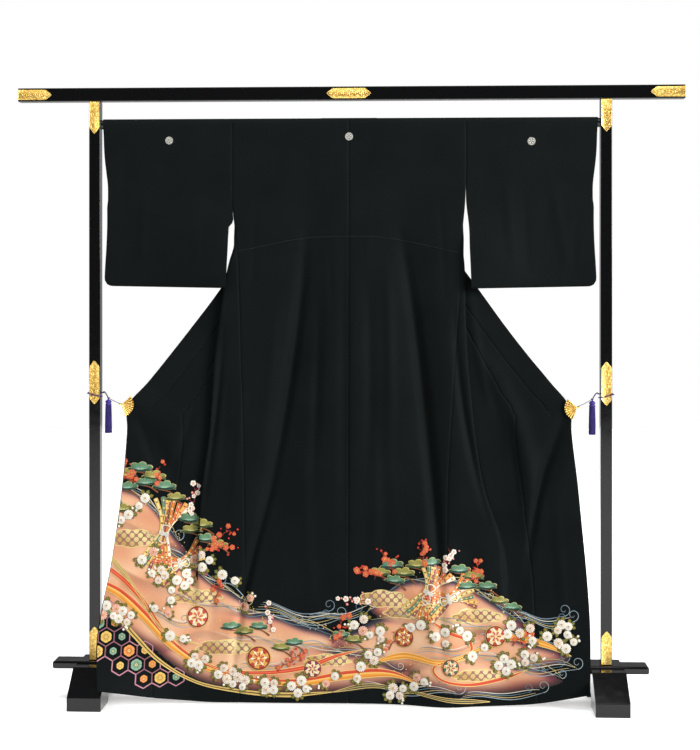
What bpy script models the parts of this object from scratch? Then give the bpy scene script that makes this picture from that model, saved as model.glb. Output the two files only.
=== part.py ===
"""A black ceremonial kimono, hung open with its back to the viewer, on its lacquered kimono stand.

Metres, Z up. The origin is on the floor, midway between the two feet. X runs along the stand's top bar,
and -Y is the side that the garment's back faces. Left is the wearer's left, which is -X.
"""

from math import atan, cos, pi, radians, sin, sqrt

import bmesh
import bpy
import numpy as np

# The stand
POST_SPACING = 1.390  # between the two posts' middles
POST_SIDE = 0.031
BAR_LENGTH = 1.814
BAR_HEIGHT = 0.037
BAR_DEPTH = 0.030
BAR_UNDERSIDE = 1.631  # above the floor
BOARD_LENGTH = 1.616
BOARD_DEPTH = 0.066
BOARD_UNDERSIDE = 0.083
BOARD_TOP = 0.104
FOOT_WIDTH = 0.091
FOOT_LENGTH = 0.310
FOOT_TOP = 0.099
FOOT_TOP_LENGTH = 0.154
FOOT_END_HEIGHT = 0.037
FOOT_ARCH_LENGTH = 0.100
FOOT_ARCH_HEIGHT = 0.035
RAIL_RADIUS = 0.0128
RAIL_HEIGHT = 1.568
WOOD_CHAMFER = 0.0015
BOARD_CHAMFER = 0.004
FOOT_CHAMFER = 0.001
PLATE_WIDTH = 0.0275
PLATE_THICKNESS = 0.0012
PLATE_TIP = 0.018  # length of a plate's pointed end
PLATE_INSET = 0.001  # between the bar's end and its plate's
BAR_END_PLATE = 0.092
BAR_MIDDLE_PLATE = 0.120
# On each post: the plate's lowest and highest point, and which ends are pointed
POST_PLATES = (
    ("top", 1.543, 1.630, ("start",)),
    ("middle", 0.804, 0.922, ("start", "end")),
    ("bottom", 0.106, 0.196, ("end",)),
)

# The kimono's cut
CLOTH = 0.002  # wall of the cloth
COLLAR_CLOTH = 0.003  # the collar is folded double
LENGTH = 1.580  # shoulder line to hem
NECK_HALF = 0.090  # centre back to where the collar turns down
BACK_WIDTH = 0.3175  # centre back seam to the sleeve seam
FRONT_WIDTH = 0.245  # side seam to the overlap's seam
OVERLAP_WIDTH = 0.150
OVERLAP_TOP = 0.400  # how far below the shoulder the overlap's point starts
OVERLAP_POINT = 0.408  # its point is cut off here
COLLAR_WIDTH = 0.055
COLLAR_END = 0.805  # how far below the shoulder the collar stops
NECK_TURN = 0.014  # radius of the collar's bend where it starts down each front
NECK_CURL = 1.9  # how far the collar curls over behind the neck, in radians
COLLAR_INSET = 0.0026  # from the neck's corner in to the middle of the collar's wall
COLLAR_ROOT = 0.0014  # how far behind the top of the rail the collar starts
SLEEVE_SEAM = 0.230  # how far down the sleeve is sewn to the body
SIDE_SEAM_TOP = 0.360  # the side opening ends here
SLEEVE_DROP = 0.458
SLEEVE_CORNER = 0.022
SLEEVE_LEAN = 0.012  # how far the sleeve leans to the viewer for each metre down
SLEEVE_PUSHED = 0.75  # share of its width over which the front behind it pushes it out
SLEEVE_SWELL = 0.8  # how far its closed edge swells, as a share of half the space inside it
CUFF_OPENING = 0.230
SEAM_GAP = 0.0004
COLLAR_GAP = 0.0008  # along the level, where the collar's seam runs on the slant
LAPEL_GAP = 0.0030  # more of it near the neck, where the collar turns over
LAPEL_GAP_END = 0.210  # how far below the shoulder that starts to close

# How the cloth hangs
OVER_RAIL = 0.0148  # radius of the cloth's middle round the rail
QUARTER = OVER_RAIL * pi / 2
LAPEL_TURNED = 0.160  # the collar lies flat on the front from here down
TURN = 0.0045  # radius of a pleat's folded edge
LEAN = 1.7  # power of the skirt's lean away from the stand
SLOPE_STEP = 0.020  # over which the slope of the front's edge is read
SHORTEST = 0.003  # no straight stretch of a pleat is shorter
SPARE = 0.002  # cloth left past the last fold
BEYOND = 0.200  # how far a level is known past the cloth's own edge
STARTS_TO_LEAN = 0.010  # how far past the pleat a front starts to stand out

GAP = 0.0003  # between pieces that lie against each other
MERGED = 0.00002  # places closer than this are one


def rows(columns, *table):
    """A table as one array for each named column."""
    return dict(zip(columns.split(), np.array(table, dtype=float).T))


# Across each side at some distances below the shoulder line: the side seam, the outer edge of the pleat
# beside it, the free edge, how far that stands out in front, and the share of the slack that lies in the pleat
LEFT = rows(
    "fall side fold edge out pleated",
    (0.000, 0.3175, 0.3215, 0.090, 0.000, 1.0),
    (0.160, 0.3175, 0.3215, 0.137, 0.000, 1.0),
    (0.240, 0.3170, 0.3205, 0.196, 0.000, 1.0),
    (0.360, 0.3040, 0.3140, 0.280, 0.000, 1.0),
    (0.400, 0.3010, 0.3260, 0.305, 0.000, 1.0),
    (0.470, 0.2985, 0.3450, 0.350, 0.000, 1.0),
    (0.570, 0.2950, 0.3600, 0.424, 0.004, 1.0),
    (0.660, 0.2930, 0.3730, 0.491, 0.010, 1.0),
    (0.740, 0.2890, 0.3840, 0.550, 0.020, 1.0),
    (0.805, 0.2870, 0.3930, 0.600, 0.032, 1.0),
    (0.870, 0.2855, 0.4000, 0.602, 0.034, 1.0),
    (1.000, 0.2830, 0.4060, 0.611, 0.041, 0.9),
    (1.160, 0.2810, 0.4040, 0.629, 0.053, 0.5),
    (1.270, 0.2800, 0.4000, 0.645, 0.061, 0.1),
    (1.370, 0.2790, 0.4000, 0.664, 0.070, 0.0),
    (1.470, 0.2820, 0.4000, 0.673, 0.096, 0.0),
    (1.580, 0.2930, 0.4000, 0.660, 0.147, 0.0),
)
RIGHT = rows(
    "fall side fold edge out pleated",
    (0.000, 0.3175, 0.3215, 0.090, 0.000, 1.0),
    (0.160, 0.3175, 0.3215, 0.137, 0.000, 1.0),
    (0.240, 0.3150, 0.3190, 0.196, 0.000, 1.0),
    (0.360, 0.3035, 0.3095, 0.275, 0.000, 1.0),
    (0.420, 0.3035, 0.3140, 0.313, 0.000, 1.0),
    (0.470, 0.3010, 0.3150, 0.350, 0.000, 1.0),
    (0.570, 0.2950, 0.3170, 0.422, 0.004, 1.0),
    (0.650, 0.2890, 0.3210, 0.482, 0.010, 1.0),
    (0.730, 0.2835, 0.3280, 0.544, 0.020, 1.0),
    (0.805, 0.2790, 0.3350, 0.597, 0.031, 1.0),
    (0.860, 0.2750, 0.3410, 0.599, 0.034, 1.0),
    (1.000, 0.2680, 0.3640, 0.614, 0.041, 0.9),
    (1.130, 0.2660, 0.4040, 0.626, 0.050, 0.5),
    (1.270, 0.2650, 0.4100, 0.638, 0.060, 0.1),
    (1.400, 0.2660, 0.4100, 0.645, 0.072, 0.0),
    (1.580, 0.2810, 0.4100, 0.643, 0.095, 0.0),
)
# Flat width of the front from the side seam to the collar's seam
FRONT_CUT = rows(
    "fall width",
    (0.000, 0.2275),
    (0.150, 0.2330),
    (0.400, 0.2450),
    (0.600, 0.2900),
    (0.805, 0.3350),
)
# Along the hem, from left to right: how far it stands out in front, and how far it is lifted off the floor
HEM = rows(
    "x out lift",
    (-0.680, 0.090, 0.0560),
    (-0.600, 0.085, 0.0430),
    (-0.500, 0.078, 0.0220),
    (-0.400, 0.070, 0.0090),
    (-0.270, 0.066, 0.0065),
    (-0.140, 0.064, 0.0060),
    (0.000, 0.061, 0.0060),
    (0.140, 0.068, 0.0060),
    (0.270, 0.094, 0.0060),
    (0.340, 0.080, 0.0060),
    (0.420, 0.070, 0.0070),
    (0.500, 0.080, 0.0150),
    (0.600, 0.090, 0.0340),
    (0.650, 0.095, 0.0450),
)
# The large soft folds: where each starts, passes its middle and ends, how wide it is, and how far it sinks
# in (a ridge stands out, so its depth is less than nothing)
FOLDS = rows(
    "top_z top_x middle_x low_z low_x width depth",
    (1.440, -0.097, -0.152, 0.220, -0.281, 0.050, 0.014),
    (1.450, 0.128, 0.206, 0.240, 0.264, 0.050, 0.014),
    (1.300, 0.010, 0.006, 0.150, 0.000, 0.075, -0.008),
    (0.970, 0.352, 0.470, 0.420, 0.497, 0.030, -0.013),
    (0.800, -0.590, -0.520, 0.560, -0.470, 0.030, 0.008),
    (0.800, 0.590, 0.540, 0.480, 0.490, 0.030, 0.009),
    (0.560, -0.420, -0.470, 0.060, -0.500, 0.060, -0.010),
    (0.520, 0.300, 0.330, 0.060, 0.350, 0.040, 0.008),
)
# The sleeve from its shoulder fold down: its two side edges, half the space inside it, and how far it is
# pushed out in front at its inner edge, by the front that passes behind it
SLEEVE = rows(
    "fall inner outer half_space push",
    (0.000, 0.3180, 0.6690, 0.0148, 0.000),
    (0.045, 0.3180, 0.6680, 0.0146, 0.000),
    (0.100, 0.3180, 0.6650, 0.0130, 0.000),
    (0.170, 0.3180, 0.6600, 0.0115, 0.000),
    (0.230, 0.3182, 0.6570, 0.0105, 0.002),
    (0.300, 0.3270, 0.6570, 0.0095, 0.014),
    (0.360, 0.3290, 0.6585, 0.0085, 0.028),
    (0.400, 0.3305, 0.6600, 0.0075, 0.032),
    (0.458, 0.3330, 0.6640, 0.0050, 0.034),
)

OVER_TOP = (0.0, QUARTER / 3, QUARTER * 2 / 3, QUARTER)
BACK_ROWS = OVER_TOP + (0.06, 0.09, 0.12, LAPEL_TURNED, 0.19, 0.21, 0.24, 0.30, 0.36)
BACK_ROWS += (OVERLAP_TOP, OVERLAP_POINT, 0.45, 0.51, 0.57, 0.63, 0.69, 0.75, COLLAR_END)
BACK_ROWS += (0.88, 0.95, 1.02, 1.10, 1.18, 1.26, 1.34, 1.42, 1.50, LENGTH)
NECK_COLUMNS = 2
SIDE_COLUMNS = 12
OVERLAP_COLUMNS = 4
EDGE_COLUMNS = 2
COLLAR_COLUMNS = 3
SLEEVE_COLUMNS = 8
SLEEVE_ROWS = OVER_TOP + (0.08, 0.15, SLEEVE_SEAM, 0.29, 0.35, 0.40, 0.436)

# The clips, cords and tassels
JAW_LEG = 0.017
JAW_WALL = 0.0012
JAW_SPACE = 0.0052
JAW_HEIGHT = 0.010
JAW_REACH = 0.0105  # from the cloth's corner to the jaw's outer face
FAN_RADIUS = 0.032
FAN_SPREAD = radians(114)
FAN_RIBS = 9
FAN_SLANT = radians(-15)
FAN_RIDGE = 0.0007  # height of its pleats
FAN_SHEET = 0.0009
FAN_ROOT = 0.004  # from its pivot to where its pleats start
FAN_MIDDLE = 0.014
PIVOT_OUT = 0.005  # from the jaw out to the fan's pivot, up to it, and forward
PIVOT_UP = 0.002
PIVOT_FORWARD = 0.0017
TIE_RADIUS = 0.0018
TIE_TURN = 0.004  # where the cord starts to bend round a post's corner
THREAD_RADIUS = 0.0010
THREAD_SAG = 0.0012
KNOT_RADIUS = 0.0038
TASSEL_LENGTH = 0.092
TASSEL_WIDTH = 0.019
TASSEL_HEAD = 0.016
# Down the tassel's head: share of its length, and of its width
TASSEL_LEVELS = (
    (0.0, 0.2),
    (0.12, 0.62),
    (0.30, 0.86),
    (0.55, 0.80),
    (0.68, 0.60),
    (0.80, 0.86),
    (1.0, 0.94),
)
STRANDS_ACROSS = 5
STRAND_GAP = 0.0005  # half the space between two strands
STRAND_UNEVEN = 0.003
# Down the strands: share of their length, and how far they spread
STRAND_STEPS = ((0.40, 1.10), (0.60, 1.04))


def eased(value, low, high):
    """0 below low, 1 above high, and a soft rise between."""
    share = np.clip((value - low) / (high - low), 0.0, 1.0)
    return share * share * (3 - 2 * share)


def curve_through(table, column, place, along="fall"):
    """A smooth curve through one column of a table, read at a place."""
    x, y = table[along], table[column]
    slopes = np.gradient(y, x)
    i = int(np.clip(np.searchsorted(x, place) - 1, 0, len(x) - 2))
    step = x[i + 1] - x[i]
    u = min(max((place - x[i]) / step, 0.0), 1.0)
    return (
        (1 + 2 * u) * (1 - u) ** 2 * y[i]
        + u * (1 - u) ** 2 * step * slopes[i]
        + u * u * (3 - 2 * u) * y[i + 1]
        + u * u * (u - 1) * step * slopes[i + 1]
    )


def fold_depth(x, z):
    """How far the large soft folds push the cloth back at a place."""
    depth = 0.0
    for k in range(len(FOLDS["width"])):
        run = (FOLDS["top_z"][k] - z) / (FOLDS["top_z"][k] - FOLDS["low_z"][k])
        if not 0.0 < run < 1.0:
            continue
        middle = (
            (1 - run) * (1 - 2 * run) * FOLDS["top_x"][k]
            + 4 * run * (1 - run) * FOLDS["middle_x"][k]
            + run * (2 * run - 1) * FOLDS["low_x"][k]
        )
        across = (x - middle) / FOLDS["width"][k]
        depth += FOLDS["depth"][k] * sin(pi * run) * np.exp(-across * across)
    return depth


def hang(x, fall, behind):
    """The place of cloth at x, this far below the shoulder line, at a distance behind the back panel."""
    if fall < QUARTER:
        side = 1 if behind > OVER_RAIL else -1
        angle = fall / OVER_RAIL
        out = behind - 2 * OVER_RAIL if side > 0 else behind
        return (x, side * OVER_RAIL * sin(angle) + out, RAIL_HEIGHT + OVER_RAIL * cos(angle))
    down = (fall - QUARTER) / (LENGTH - QUARTER)
    lift = curve_through(HEM, "lift", x, "x")
    z = RAIL_HEIGHT - (RAIL_HEIGHT - lift) * down
    out = OVER_RAIL + (curve_through(HEM, "out", x, "x") - OVER_RAIL) * down**LEAN
    return (x, behind - out + fold_depth(x, z), z)


class Section:
    """One level of a front, from the side seam out to a pleat, in behind the back and out to its edge."""

    def __init__(self, side, fall):
        table = LEFT if side < 0 else RIGHT
        self.side, self.fall = side, fall
        self.seam_x = curve_through(table, "side", fall)
        self.fold_x = curve_through(table, "fold", fall)
        self.edge_x = curve_through(table, "edge", fall)
        self.edge_out = curve_through(table, "out", fall)
        ahead = curve_through(table, "edge", min(fall + SLOPE_STEP, COLLAR_END))
        behind = curve_through(table, "edge", max(min(fall, COLLAR_END - SLOPE_STEP) - SLOPE_STEP, 0.0))
        slope = (ahead - behind) / (2 * SLOPE_STEP)
        self.panel = curve_through(FRONT_CUT, "width", fall)
        self.collar = COLLAR_WIDTH * sqrt(1 + slope * slope)
        whole = self.panel + self.collar if fall <= COLLAR_END else FRONT_WIDTH + OVERLAP_WIDTH
        free = 1 - eased(fall, SLEEVE_SEAM, SIDE_SEAM_TOP)  # the side edge turns to meet the back panel
        start = pi * free
        lapel = pi / 2 + pi / 2 * eased(fall, 0.03, LAPEL_TURNED)
        first = max(self.fold_x - self.seam_x - TURN, SHORTEST)
        slack = (whole - (self.edge_x - self.seam_x)) * curve_through(table, "pleated", fall)
        turn = TURN * pi
        self.flat = fall < LAPEL_TURNED
        if self.flat:
            self.segments = [(self.panel, pi, pi), (TURN * lapel, pi, pi - lapel)]
            end = pi - lapel
        elif slack > 2 * turn:
            begin = turn * (1 - start / pi)
            back = (slack - 2 * turn) / 2
            if start > 0.0:
                back = self.inner_length(whole, first, start, begin, turn)
            self.segments = [
                (first, start, start),
                (max(begin, 0.001), start, pi),
                (back, pi, pi),
                (turn, pi, 0.0),
            ]
            end = 0.0
        else:
            peak = self.unfolding(max(slack, 0.0) / (2 * turn))
            self.segments = [(first, 0.0, 0.0), (turn, 0.0, peak), (SHORTEST, peak, peak), (turn, peak, 0.0)]
            end = 0.0
        used = sum(length for length, _, _ in self.segments)
        self.whole = max(whole, used + SPARE)
        if not self.flat:
            self.whole = used + (self.edge_x - self.seam_x) - self.at(used)[0]
        self.segments.append((self.whole - used + BEYOND, end, end))
        self.folded = used
        self.stretch = 1.0 if self.flat else self.whole / whole
        layers = OVER_RAIL + (TURN - OVER_RAIL) * eased(fall, QUARTER, SIDE_SEAM_TOP)
        self.behind = 2 * layers - TURN * (1 + cos(start))

    def inner_length(self, whole, first, start, begin, turn):
        """The straight stretch behind the back, where the side edge is still free."""
        reach = first * cos(start) - TURN * sin(start)
        return (whole - first - begin - turn - (self.edge_x - self.seam_x) + reach) / 2

    def unfolding(self, share):
        """The steepest angle of a pleat that opens out."""
        low, high = 0.0001, pi
        for _ in range(30):
            angle = (low + high) / 2
            if 1 - sin(angle) / angle < share:
                low = angle
            else:
                high = angle
        return low

    def at(self, along):
        """Distance out from the side seam, and behind it, at a length along the cloth."""
        x = y = 0.0
        for length, start, end in self.segments:
            run = min(along, length)
            turned = start + (end - start) * run / length
            if abs(end - start) < 1e-6:
                x += run * cos(start)
                y += run * sin(start)
            else:
                radius = length / (end - start)
                x += radius * (sin(turned) - sin(start))
                y += radius * (cos(start) - cos(turned))
            along -= run
            if along <= 0.0:
                break
        return x, y

    def place(self, along):
        """The place in the world of cloth this far along from the side seam."""
        out, back = self.at(along)
        x, y, z = hang(self.side * (self.seam_x + out), self.fall, self.behind + back)
        clear = self.fold_x + STARTS_TO_LEAN
        reach = self.edge_x - clear
        if reach > 3 * STARTS_TO_LEAN and along > self.folded:
            edge = hang(self.side * self.edge_x, self.fall, self.behind + self.at(self.whole)[1])[1]
            y -= (edge + self.edge_out) * float(eased(self.seam_x + out, clear, self.edge_x))
        return x, y, z

    def breaks(self):
        """Where the front panel's columns lie, close together at the folds."""
        end = self.panel * self.stretch - COLLAR_GAP / 2
        if self.fall >= OVERLAP_TOP:
            end = FRONT_WIDTH * self.stretch - SEAM_GAP / 2
        if self.flat:
            near_collar = [0.016, 0.013, 0.010, 0.007, 0.0035, 0.0]
            places = [0.0, 0.002, 0.004, 0.005, 0.006, 0.007, end / 2]
            places = np.array(places + [end - short for short in near_collar])
            close = float(eased(self.fall, QUARTER, 0.10))
            return close * places + (1 - close) * np.linspace(0.0, end, SIDE_COLUMNS + 1)
        first, turn_out, inner, turn_in = (length for length, _, _ in self.segments[:4])
        start, folded = first + turn_out + inner, first + turn_out + inner + turn_in
        places = [0.0, first / 2, first]
        places += [first + turn_out * k / 3 for k in (1, 2, 3)]
        if end > folded + 0.003:
            places += [first + turn_out + inner / 2, start]
            places += [start + turn_in * k / 3 for k in (1, 2, 3)]
            places += [(folded + end) / 2, end]
        else:
            start = min(start, end - 0.014)
            places += [first + turn_out + (start - first - turn_out) / 2]
            places += [start + (end - start) * k / 5 for k in range(6)]
        return np.array(places)


def remove_everything():
    """Empties the scene that Blender starts with."""
    for item in list(bpy.data.objects):
        bpy.data.objects.remove(item, do_unlink=True)


def collection(name):
    """A new collection in the scene."""
    made = bpy.data.collections.new(name)
    bpy.context.scene.collection.children.link(made)
    return made


def material(name, colour, roughness, metallic=0.0):
    """A plain finish."""
    made = bpy.data.materials.new(name)
    made.use_nodes = True
    shader = made.node_tree.nodes["Principled BSDF"]
    shader.inputs["Base Color"].default_value = (*colour, 1.0)
    shader.inputs["Roughness"].default_value = roughness
    shader.inputs["Metallic"].default_value = metallic
    return made


def add(name, data, finish):
    """A piece of the part, with its finish."""
    made = bpy.data.objects.new(name, data)
    data.materials.append(finish)
    PART.objects.link(made)
    return made


def box(name, low, high, finish, chamfer=WOOD_CHAMFER):
    """A squared timber with its edges eased."""
    shape = bmesh.new()
    bmesh.ops.create_cube(shape, size=1.0)
    size = np.array(high) - np.array(low)
    bmesh.ops.scale(shape, vec=size, verts=shape.verts)
    mesh = bpy.data.meshes.new(name)
    shape.to_mesh(mesh)
    shape.free()
    made = add(name, mesh, finish)
    made.location = (np.array(low) + np.array(high)) / 2
    edges = made.modifiers.new("Eased edges", "BEVEL")
    edges.width = chamfer
    edges.segments = 1
    return made


def outline(name, points, thickness, finish, chamfer=0.0):
    """A flat closed outline with a thickness, drawn in its own XY plane."""
    curve = bpy.data.curves.new(name, "CURVE")
    curve.dimensions = "2D"
    curve.fill_mode = "BOTH"
    curve.extrude = thickness / 2
    spline = curve.splines.new("POLY")
    spline.points.add(len(points) - 1)
    for point, (x, y) in zip(spline.points, points):
        point.co = (x, y, 0.0, 1.0)
    spline.use_cyclic_u = True
    made = add(name, curve, finish)
    if chamfer:
        weld = made.modifiers.new("Joined faces", "WELD")
        weld.merge_threshold = MERGED
        edges = made.modifiers.new("Eased edges", "BEVEL")
        edges.width = chamfer
        edges.segments = 1
    return made


def tube(name, points, radius, finish):
    """A cord through some places, on a smooth curve with a point every few radii."""
    places = [np.array(p) for p in points]
    smooth = []
    for i in range(len(places) - 1):
        start, end = places[i], places[i + 1]
        before = places[i - 1] if i else 2 * start - end
        after = places[i + 2] if i + 2 < len(places) else 2 * end - start
        steps = max(2, int(np.linalg.norm(end - start) / (radius * 3)))
        for k in range(steps):
            u = k / steps
            smooth.append(
                0.5
                * (
                    2 * start
                    + (end - before) * u
                    + (2 * before - 5 * start + 4 * end - after) * u * u
                    + (3 * start - before - 3 * end + after) * u**3
                )
            )
    smooth.append(places[-1])
    curve = bpy.data.curves.new(name, "CURVE")
    curve.dimensions = "3D"
    curve.bevel_depth = radius
    curve.bevel_resolution = 2
    curve.use_fill_caps = True
    spline = curve.splines.new("POLY")
    spline.points.add(len(smooth) - 1)
    for point, place in zip(spline.points, smooth):
        point.co = (*place, 1.0)
    return add(name, curve, finish)


def sheet(name, grid, finish, thickness=CLOTH):
    """Cloth through a grid of places, with a wall to each side of them. A missing place is None."""
    shape = bmesh.new()
    verts = {}
    for i, row in enumerate(grid):
        for j, place in enumerate(row):
            if place is not None:
                verts[i, j] = shape.verts.new(place)
    for i, j in verts:
        corners = [verts.get(key) for key in ((i, j), (i, j + 1), (i + 1, j + 1), (i + 1, j))]
        if all(corners):
            shape.faces.new(corners)
    return finish_sheet(name, shape, finish, thickness)


def finish_sheet(name, shape, finish, thickness):
    """A piece of cloth or sheet from its middle faces."""
    bmesh.ops.remove_doubles(shape, verts=shape.verts, dist=MERGED)
    bmesh.ops.recalc_face_normals(shape, faces=shape.faces)
    mesh = bpy.data.meshes.new(name)
    shape.to_mesh(mesh)
    shape.free()
    mesh.shade_smooth()
    made = add(name, mesh, finish)
    wall = made.modifiers.new("Cloth wall", "SOLIDIFY")
    wall.thickness = thickness
    wall.offset = 0.0
    return made


def plate_outline(length, tips):
    """A gilt plate along X, with a pointed end at its start, its end, or both."""
    half = PLATE_WIDTH / 2
    end = ((0.0, 0.0), (0.12, 0.22), (0.38, 0.50), (0.58, 0.66), (0.70, 0.86), (1.0, 1.0))
    upper = []
    if "start" in tips:
        upper += [(-length / 2 + PLATE_TIP * along, half * share) for along, share in end]
    else:
        upper += [(-length / 2, half)]
    if "end" in tips:
        upper += [(length / 2 - PLATE_TIP * along, half * share) for along, share in reversed(end)]
    else:
        upper += [(length / 2, half)]
    lower = [(x, -y) for x, y in reversed(upper) if y > 0.0]
    return upper + lower


def stand():
    """The bar, the board, and the posts in their feet, with the rail between them."""
    post_x = POST_SPACING / 2
    half = POST_SIDE / 2
    box(
        "top_bar",
        (-BAR_LENGTH / 2, -BAR_DEPTH / 2, BAR_UNDERSIDE),
        (BAR_LENGTH / 2, BAR_DEPTH / 2, BAR_UNDERSIDE + BAR_HEIGHT),
        LACQUER,
    )
    box(
        "base_board",
        (-BOARD_LENGTH / 2, -BOARD_DEPTH / 2, BOARD_UNDERSIDE),
        (BOARD_LENGTH / 2, BOARD_DEPTH / 2, BOARD_TOP),
        LACQUER,
        BOARD_CHAMFER,
    )
    for side, word in ((-1, "left"), (1, "right")):
        box(
            f"post_{word}",
            (side * post_x - half, -half, BOARD_TOP + GAP),
            (side * post_x + half, half, BAR_UNDERSIDE - GAP),
            LACQUER,
        )
        foot(f"foot_{word}", side * post_x)
    rail()


def foot(name, x):
    """A sledge foot: arched below, sloped at both ends, and notched on top for the board."""
    end, top = FOOT_LENGTH / 2, FOOT_TOP_LENGTH / 2
    arch = FOOT_ARCH_LENGTH / 2
    notch = BOARD_DEPTH / 2 + GAP
    half = [
        (notch, BOARD_UNDERSIDE - GAP),
        (notch, FOOT_TOP),
        (top, FOOT_TOP),
        (end, FOOT_END_HEIGHT),
        (end, 0.0),
        (arch, 0.0),
        (arch, FOOT_ARCH_HEIGHT),
    ]
    points = half + [(-y, z) for y, z in reversed(half)]
    made = outline(name, points, FOOT_WIDTH, LACQUER, FOOT_CHAMFER)
    made.rotation_euler = (pi / 2, 0.0, pi / 2)
    made.location = (x, 0.0, 0.0)


def rail():
    """The round rail through both sleeves, between the posts."""
    length = POST_SPACING - POST_SIDE - 2 * GAP
    shape = bmesh.new()
    bmesh.ops.create_cone(
        shape, cap_ends=True, segments=20, radius1=RAIL_RADIUS, radius2=RAIL_RADIUS, depth=length
    )
    mesh = bpy.data.meshes.new("hanging_rail")
    shape.to_mesh(mesh)
    shape.free()
    made = add("hanging_rail", mesh, LACQUER)
    made.rotation_euler = (0.0, pi / 2, 0.0)
    made.location = (0.0, 0.0, RAIL_HEIGHT)


def gilt_plates():
    """Thin engraved plates on the faces that the viewer sees: three on the bar, three on each post."""
    out = PLATE_THICKNESS / 2 + GAP
    bar_z = BAR_UNDERSIDE + BAR_HEIGHT / 2
    end_x = BAR_LENGTH / 2 - PLATE_INSET - BAR_END_PLATE / 2
    for name, x, length, tips in (
        ("plate_bar_left", -end_x, BAR_END_PLATE, ("end",)),
        ("plate_bar_middle", 0.0, BAR_MIDDLE_PLATE, ("start", "end")),
        ("plate_bar_right", end_x, BAR_END_PLATE, ("start",)),
    ):
        made = outline(name, plate_outline(length, tips), PLATE_THICKNESS, GILT)
        made.rotation_euler = (pi / 2, 0.0, 0.0)
        made.location = (x, -BAR_DEPTH / 2 - out, bar_z)
    for side, word in ((-1, "left"), (1, "right")):
        for place, low, high, tips in POST_PLATES:
            name = f"plate_{word}_{place}"
            made = outline(name, plate_outline(high - low, tips), PLATE_THICKNESS, GILT)
            made.rotation_euler = (0.0, -pi / 2, pi / 2)
            made.location = (side * POST_SPACING / 2, -POST_SIDE / 2 - out, (low + high) / 2)


def body(side, word):
    """One body length: up the back, over the rail, and down the front to its own hem."""
    sections = [Section(side, fall) for fall in BACK_ROWS]
    grid = []
    for section in reversed(sections):
        if section.fall == 0.0:
            continue
        grid.append(back_row(side, section))
    grid.append(back_row(side, sections[0]))
    for section in sections[1:]:
        front = [section.place(max(along, SEAM_GAP / 2)) for along in section.breaks()]
        grid.append([None] * NECK_COLUMNS + front[::-1])
    sheet(f"body_{word}", grid, CREPE)


def back_row(side, section):
    """A row of the back panel, from the centre back seam to the side."""
    width = section.seam_x - SEAM_GAP / 2
    scale = width / BACK_WIDTH
    even = BACK_WIDTH - NECK_HALF
    x = [SEAM_GAP / 2 + (NECK_HALF * scale - SEAM_GAP / 2) * k / NECK_COLUMNS for k in range(NECK_COLUMNS)]
    x += [scale * (NECK_HALF + even * k / SIDE_COLUMNS) for k in range(SIDE_COLUMNS + 1)]
    return [hang(side * value, section.fall, 0.0) for value in x]


def overlap(side, word):
    """The overlap panel, from its point below the shoulder to the hem, with the collar's end let into it."""
    falls = [OVERLAP_POINT] + [fall for fall in BACK_ROWS if fall > OVERLAP_POINT]
    grid = []
    for fall in falls:
        section = Section(side, fall)
        start = FRONT_WIDTH * section.stretch + SEAM_GAP / 2
        if fall <= COLLAR_END:
            ends = section.panel * section.stretch - COLLAR_GAP / 2
        else:
            ends = (FRONT_WIDTH + OVERLAP_WIDTH - COLLAR_WIDTH) * section.stretch
        width = ends - start
        row = [section.place(start + width * k / OVERLAP_COLUMNS) for k in range(OVERLAP_COLUMNS + 1)]
        if fall >= COLLAR_END:
            last = section.whole - ends
            row += [section.place(ends + last * k / EDGE_COLUMNS) for k in range(1, EDGE_COLUMNS + 1)]
        else:
            row += [None] * EDGE_COLUMNS
        grid.append(row)
    sheet(f"overlap_{word}", grid, CREPE)


def collar():
    """The collar: round the back of the neck, turned outward down each front, to its end at the clip."""
    halves = []
    for side in (-1, 1):
        stations = []
        bend = NECK_HALF - COLLAR_INSET - NECK_TURN
        for share in (0.0, 0.4, 0.75, 1.0):
            stations.append(neck_station(side * bend * share, NECK_CURL * (1 - share) ** 0.7))
        for angle in (pi / 8, pi / 4, 3 * pi / 8, pi / 2):
            x = side * (bend + NECK_TURN * sin(angle))
            z = RAIL_HEIGHT + OVER_RAIL - NECK_TURN * (1 - cos(angle))
            y = sqrt(max((OVER_RAIL + 0.001) ** 2 - (z - RAIL_HEIGHT) ** 2, COLLAR_ROOT**2))
            step = COLLAR_WIDTH / COLLAR_COLUMNS
            stations.append([(x, y + step * k, z) for k in range(COLLAR_COLUMNS + 1)])
        falls = [fall for fall in BACK_ROWS if 0.05 < fall < COLLAR_END] + [COLLAR_END - SEAM_GAP]
        for fall in falls:
            section = Section(side, fall)
            start = section.panel * section.stretch + COLLAR_GAP / 2
            start += LAPEL_GAP * (1 - float(eased(fall, LAPEL_GAP_END, SIDE_SEAM_TOP)))
            end = section.panel + section.collar if section.flat else section.whole
            width = end - start
            stations.append(
                [section.place(start + width * k / COLLAR_COLUMNS) for k in range(COLLAR_COLUMNS + 1)]
            )
        halves.append(stations)
    grid = halves[0][:0:-1] + halves[1]
    sheet("collar", grid, CREPE, COLLAR_CLOTH)


def neck_station(x, curl):
    """The collar behind the neck, curling over from the top of the rail."""
    places = []
    for k in range(COLLAR_COLUMNS + 1):
        run = COLLAR_WIDTH * k / COLLAR_COLUMNS
        bend = max(curl, 0.02) / COLLAR_WIDTH
        places.append(
            (
                x,
                COLLAR_ROOT + sin(run * bend) / bend,
                RAIL_HEIGHT + OVER_RAIL - (1 - cos(run * bend)) / bend,
            )
        )
    return places


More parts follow.
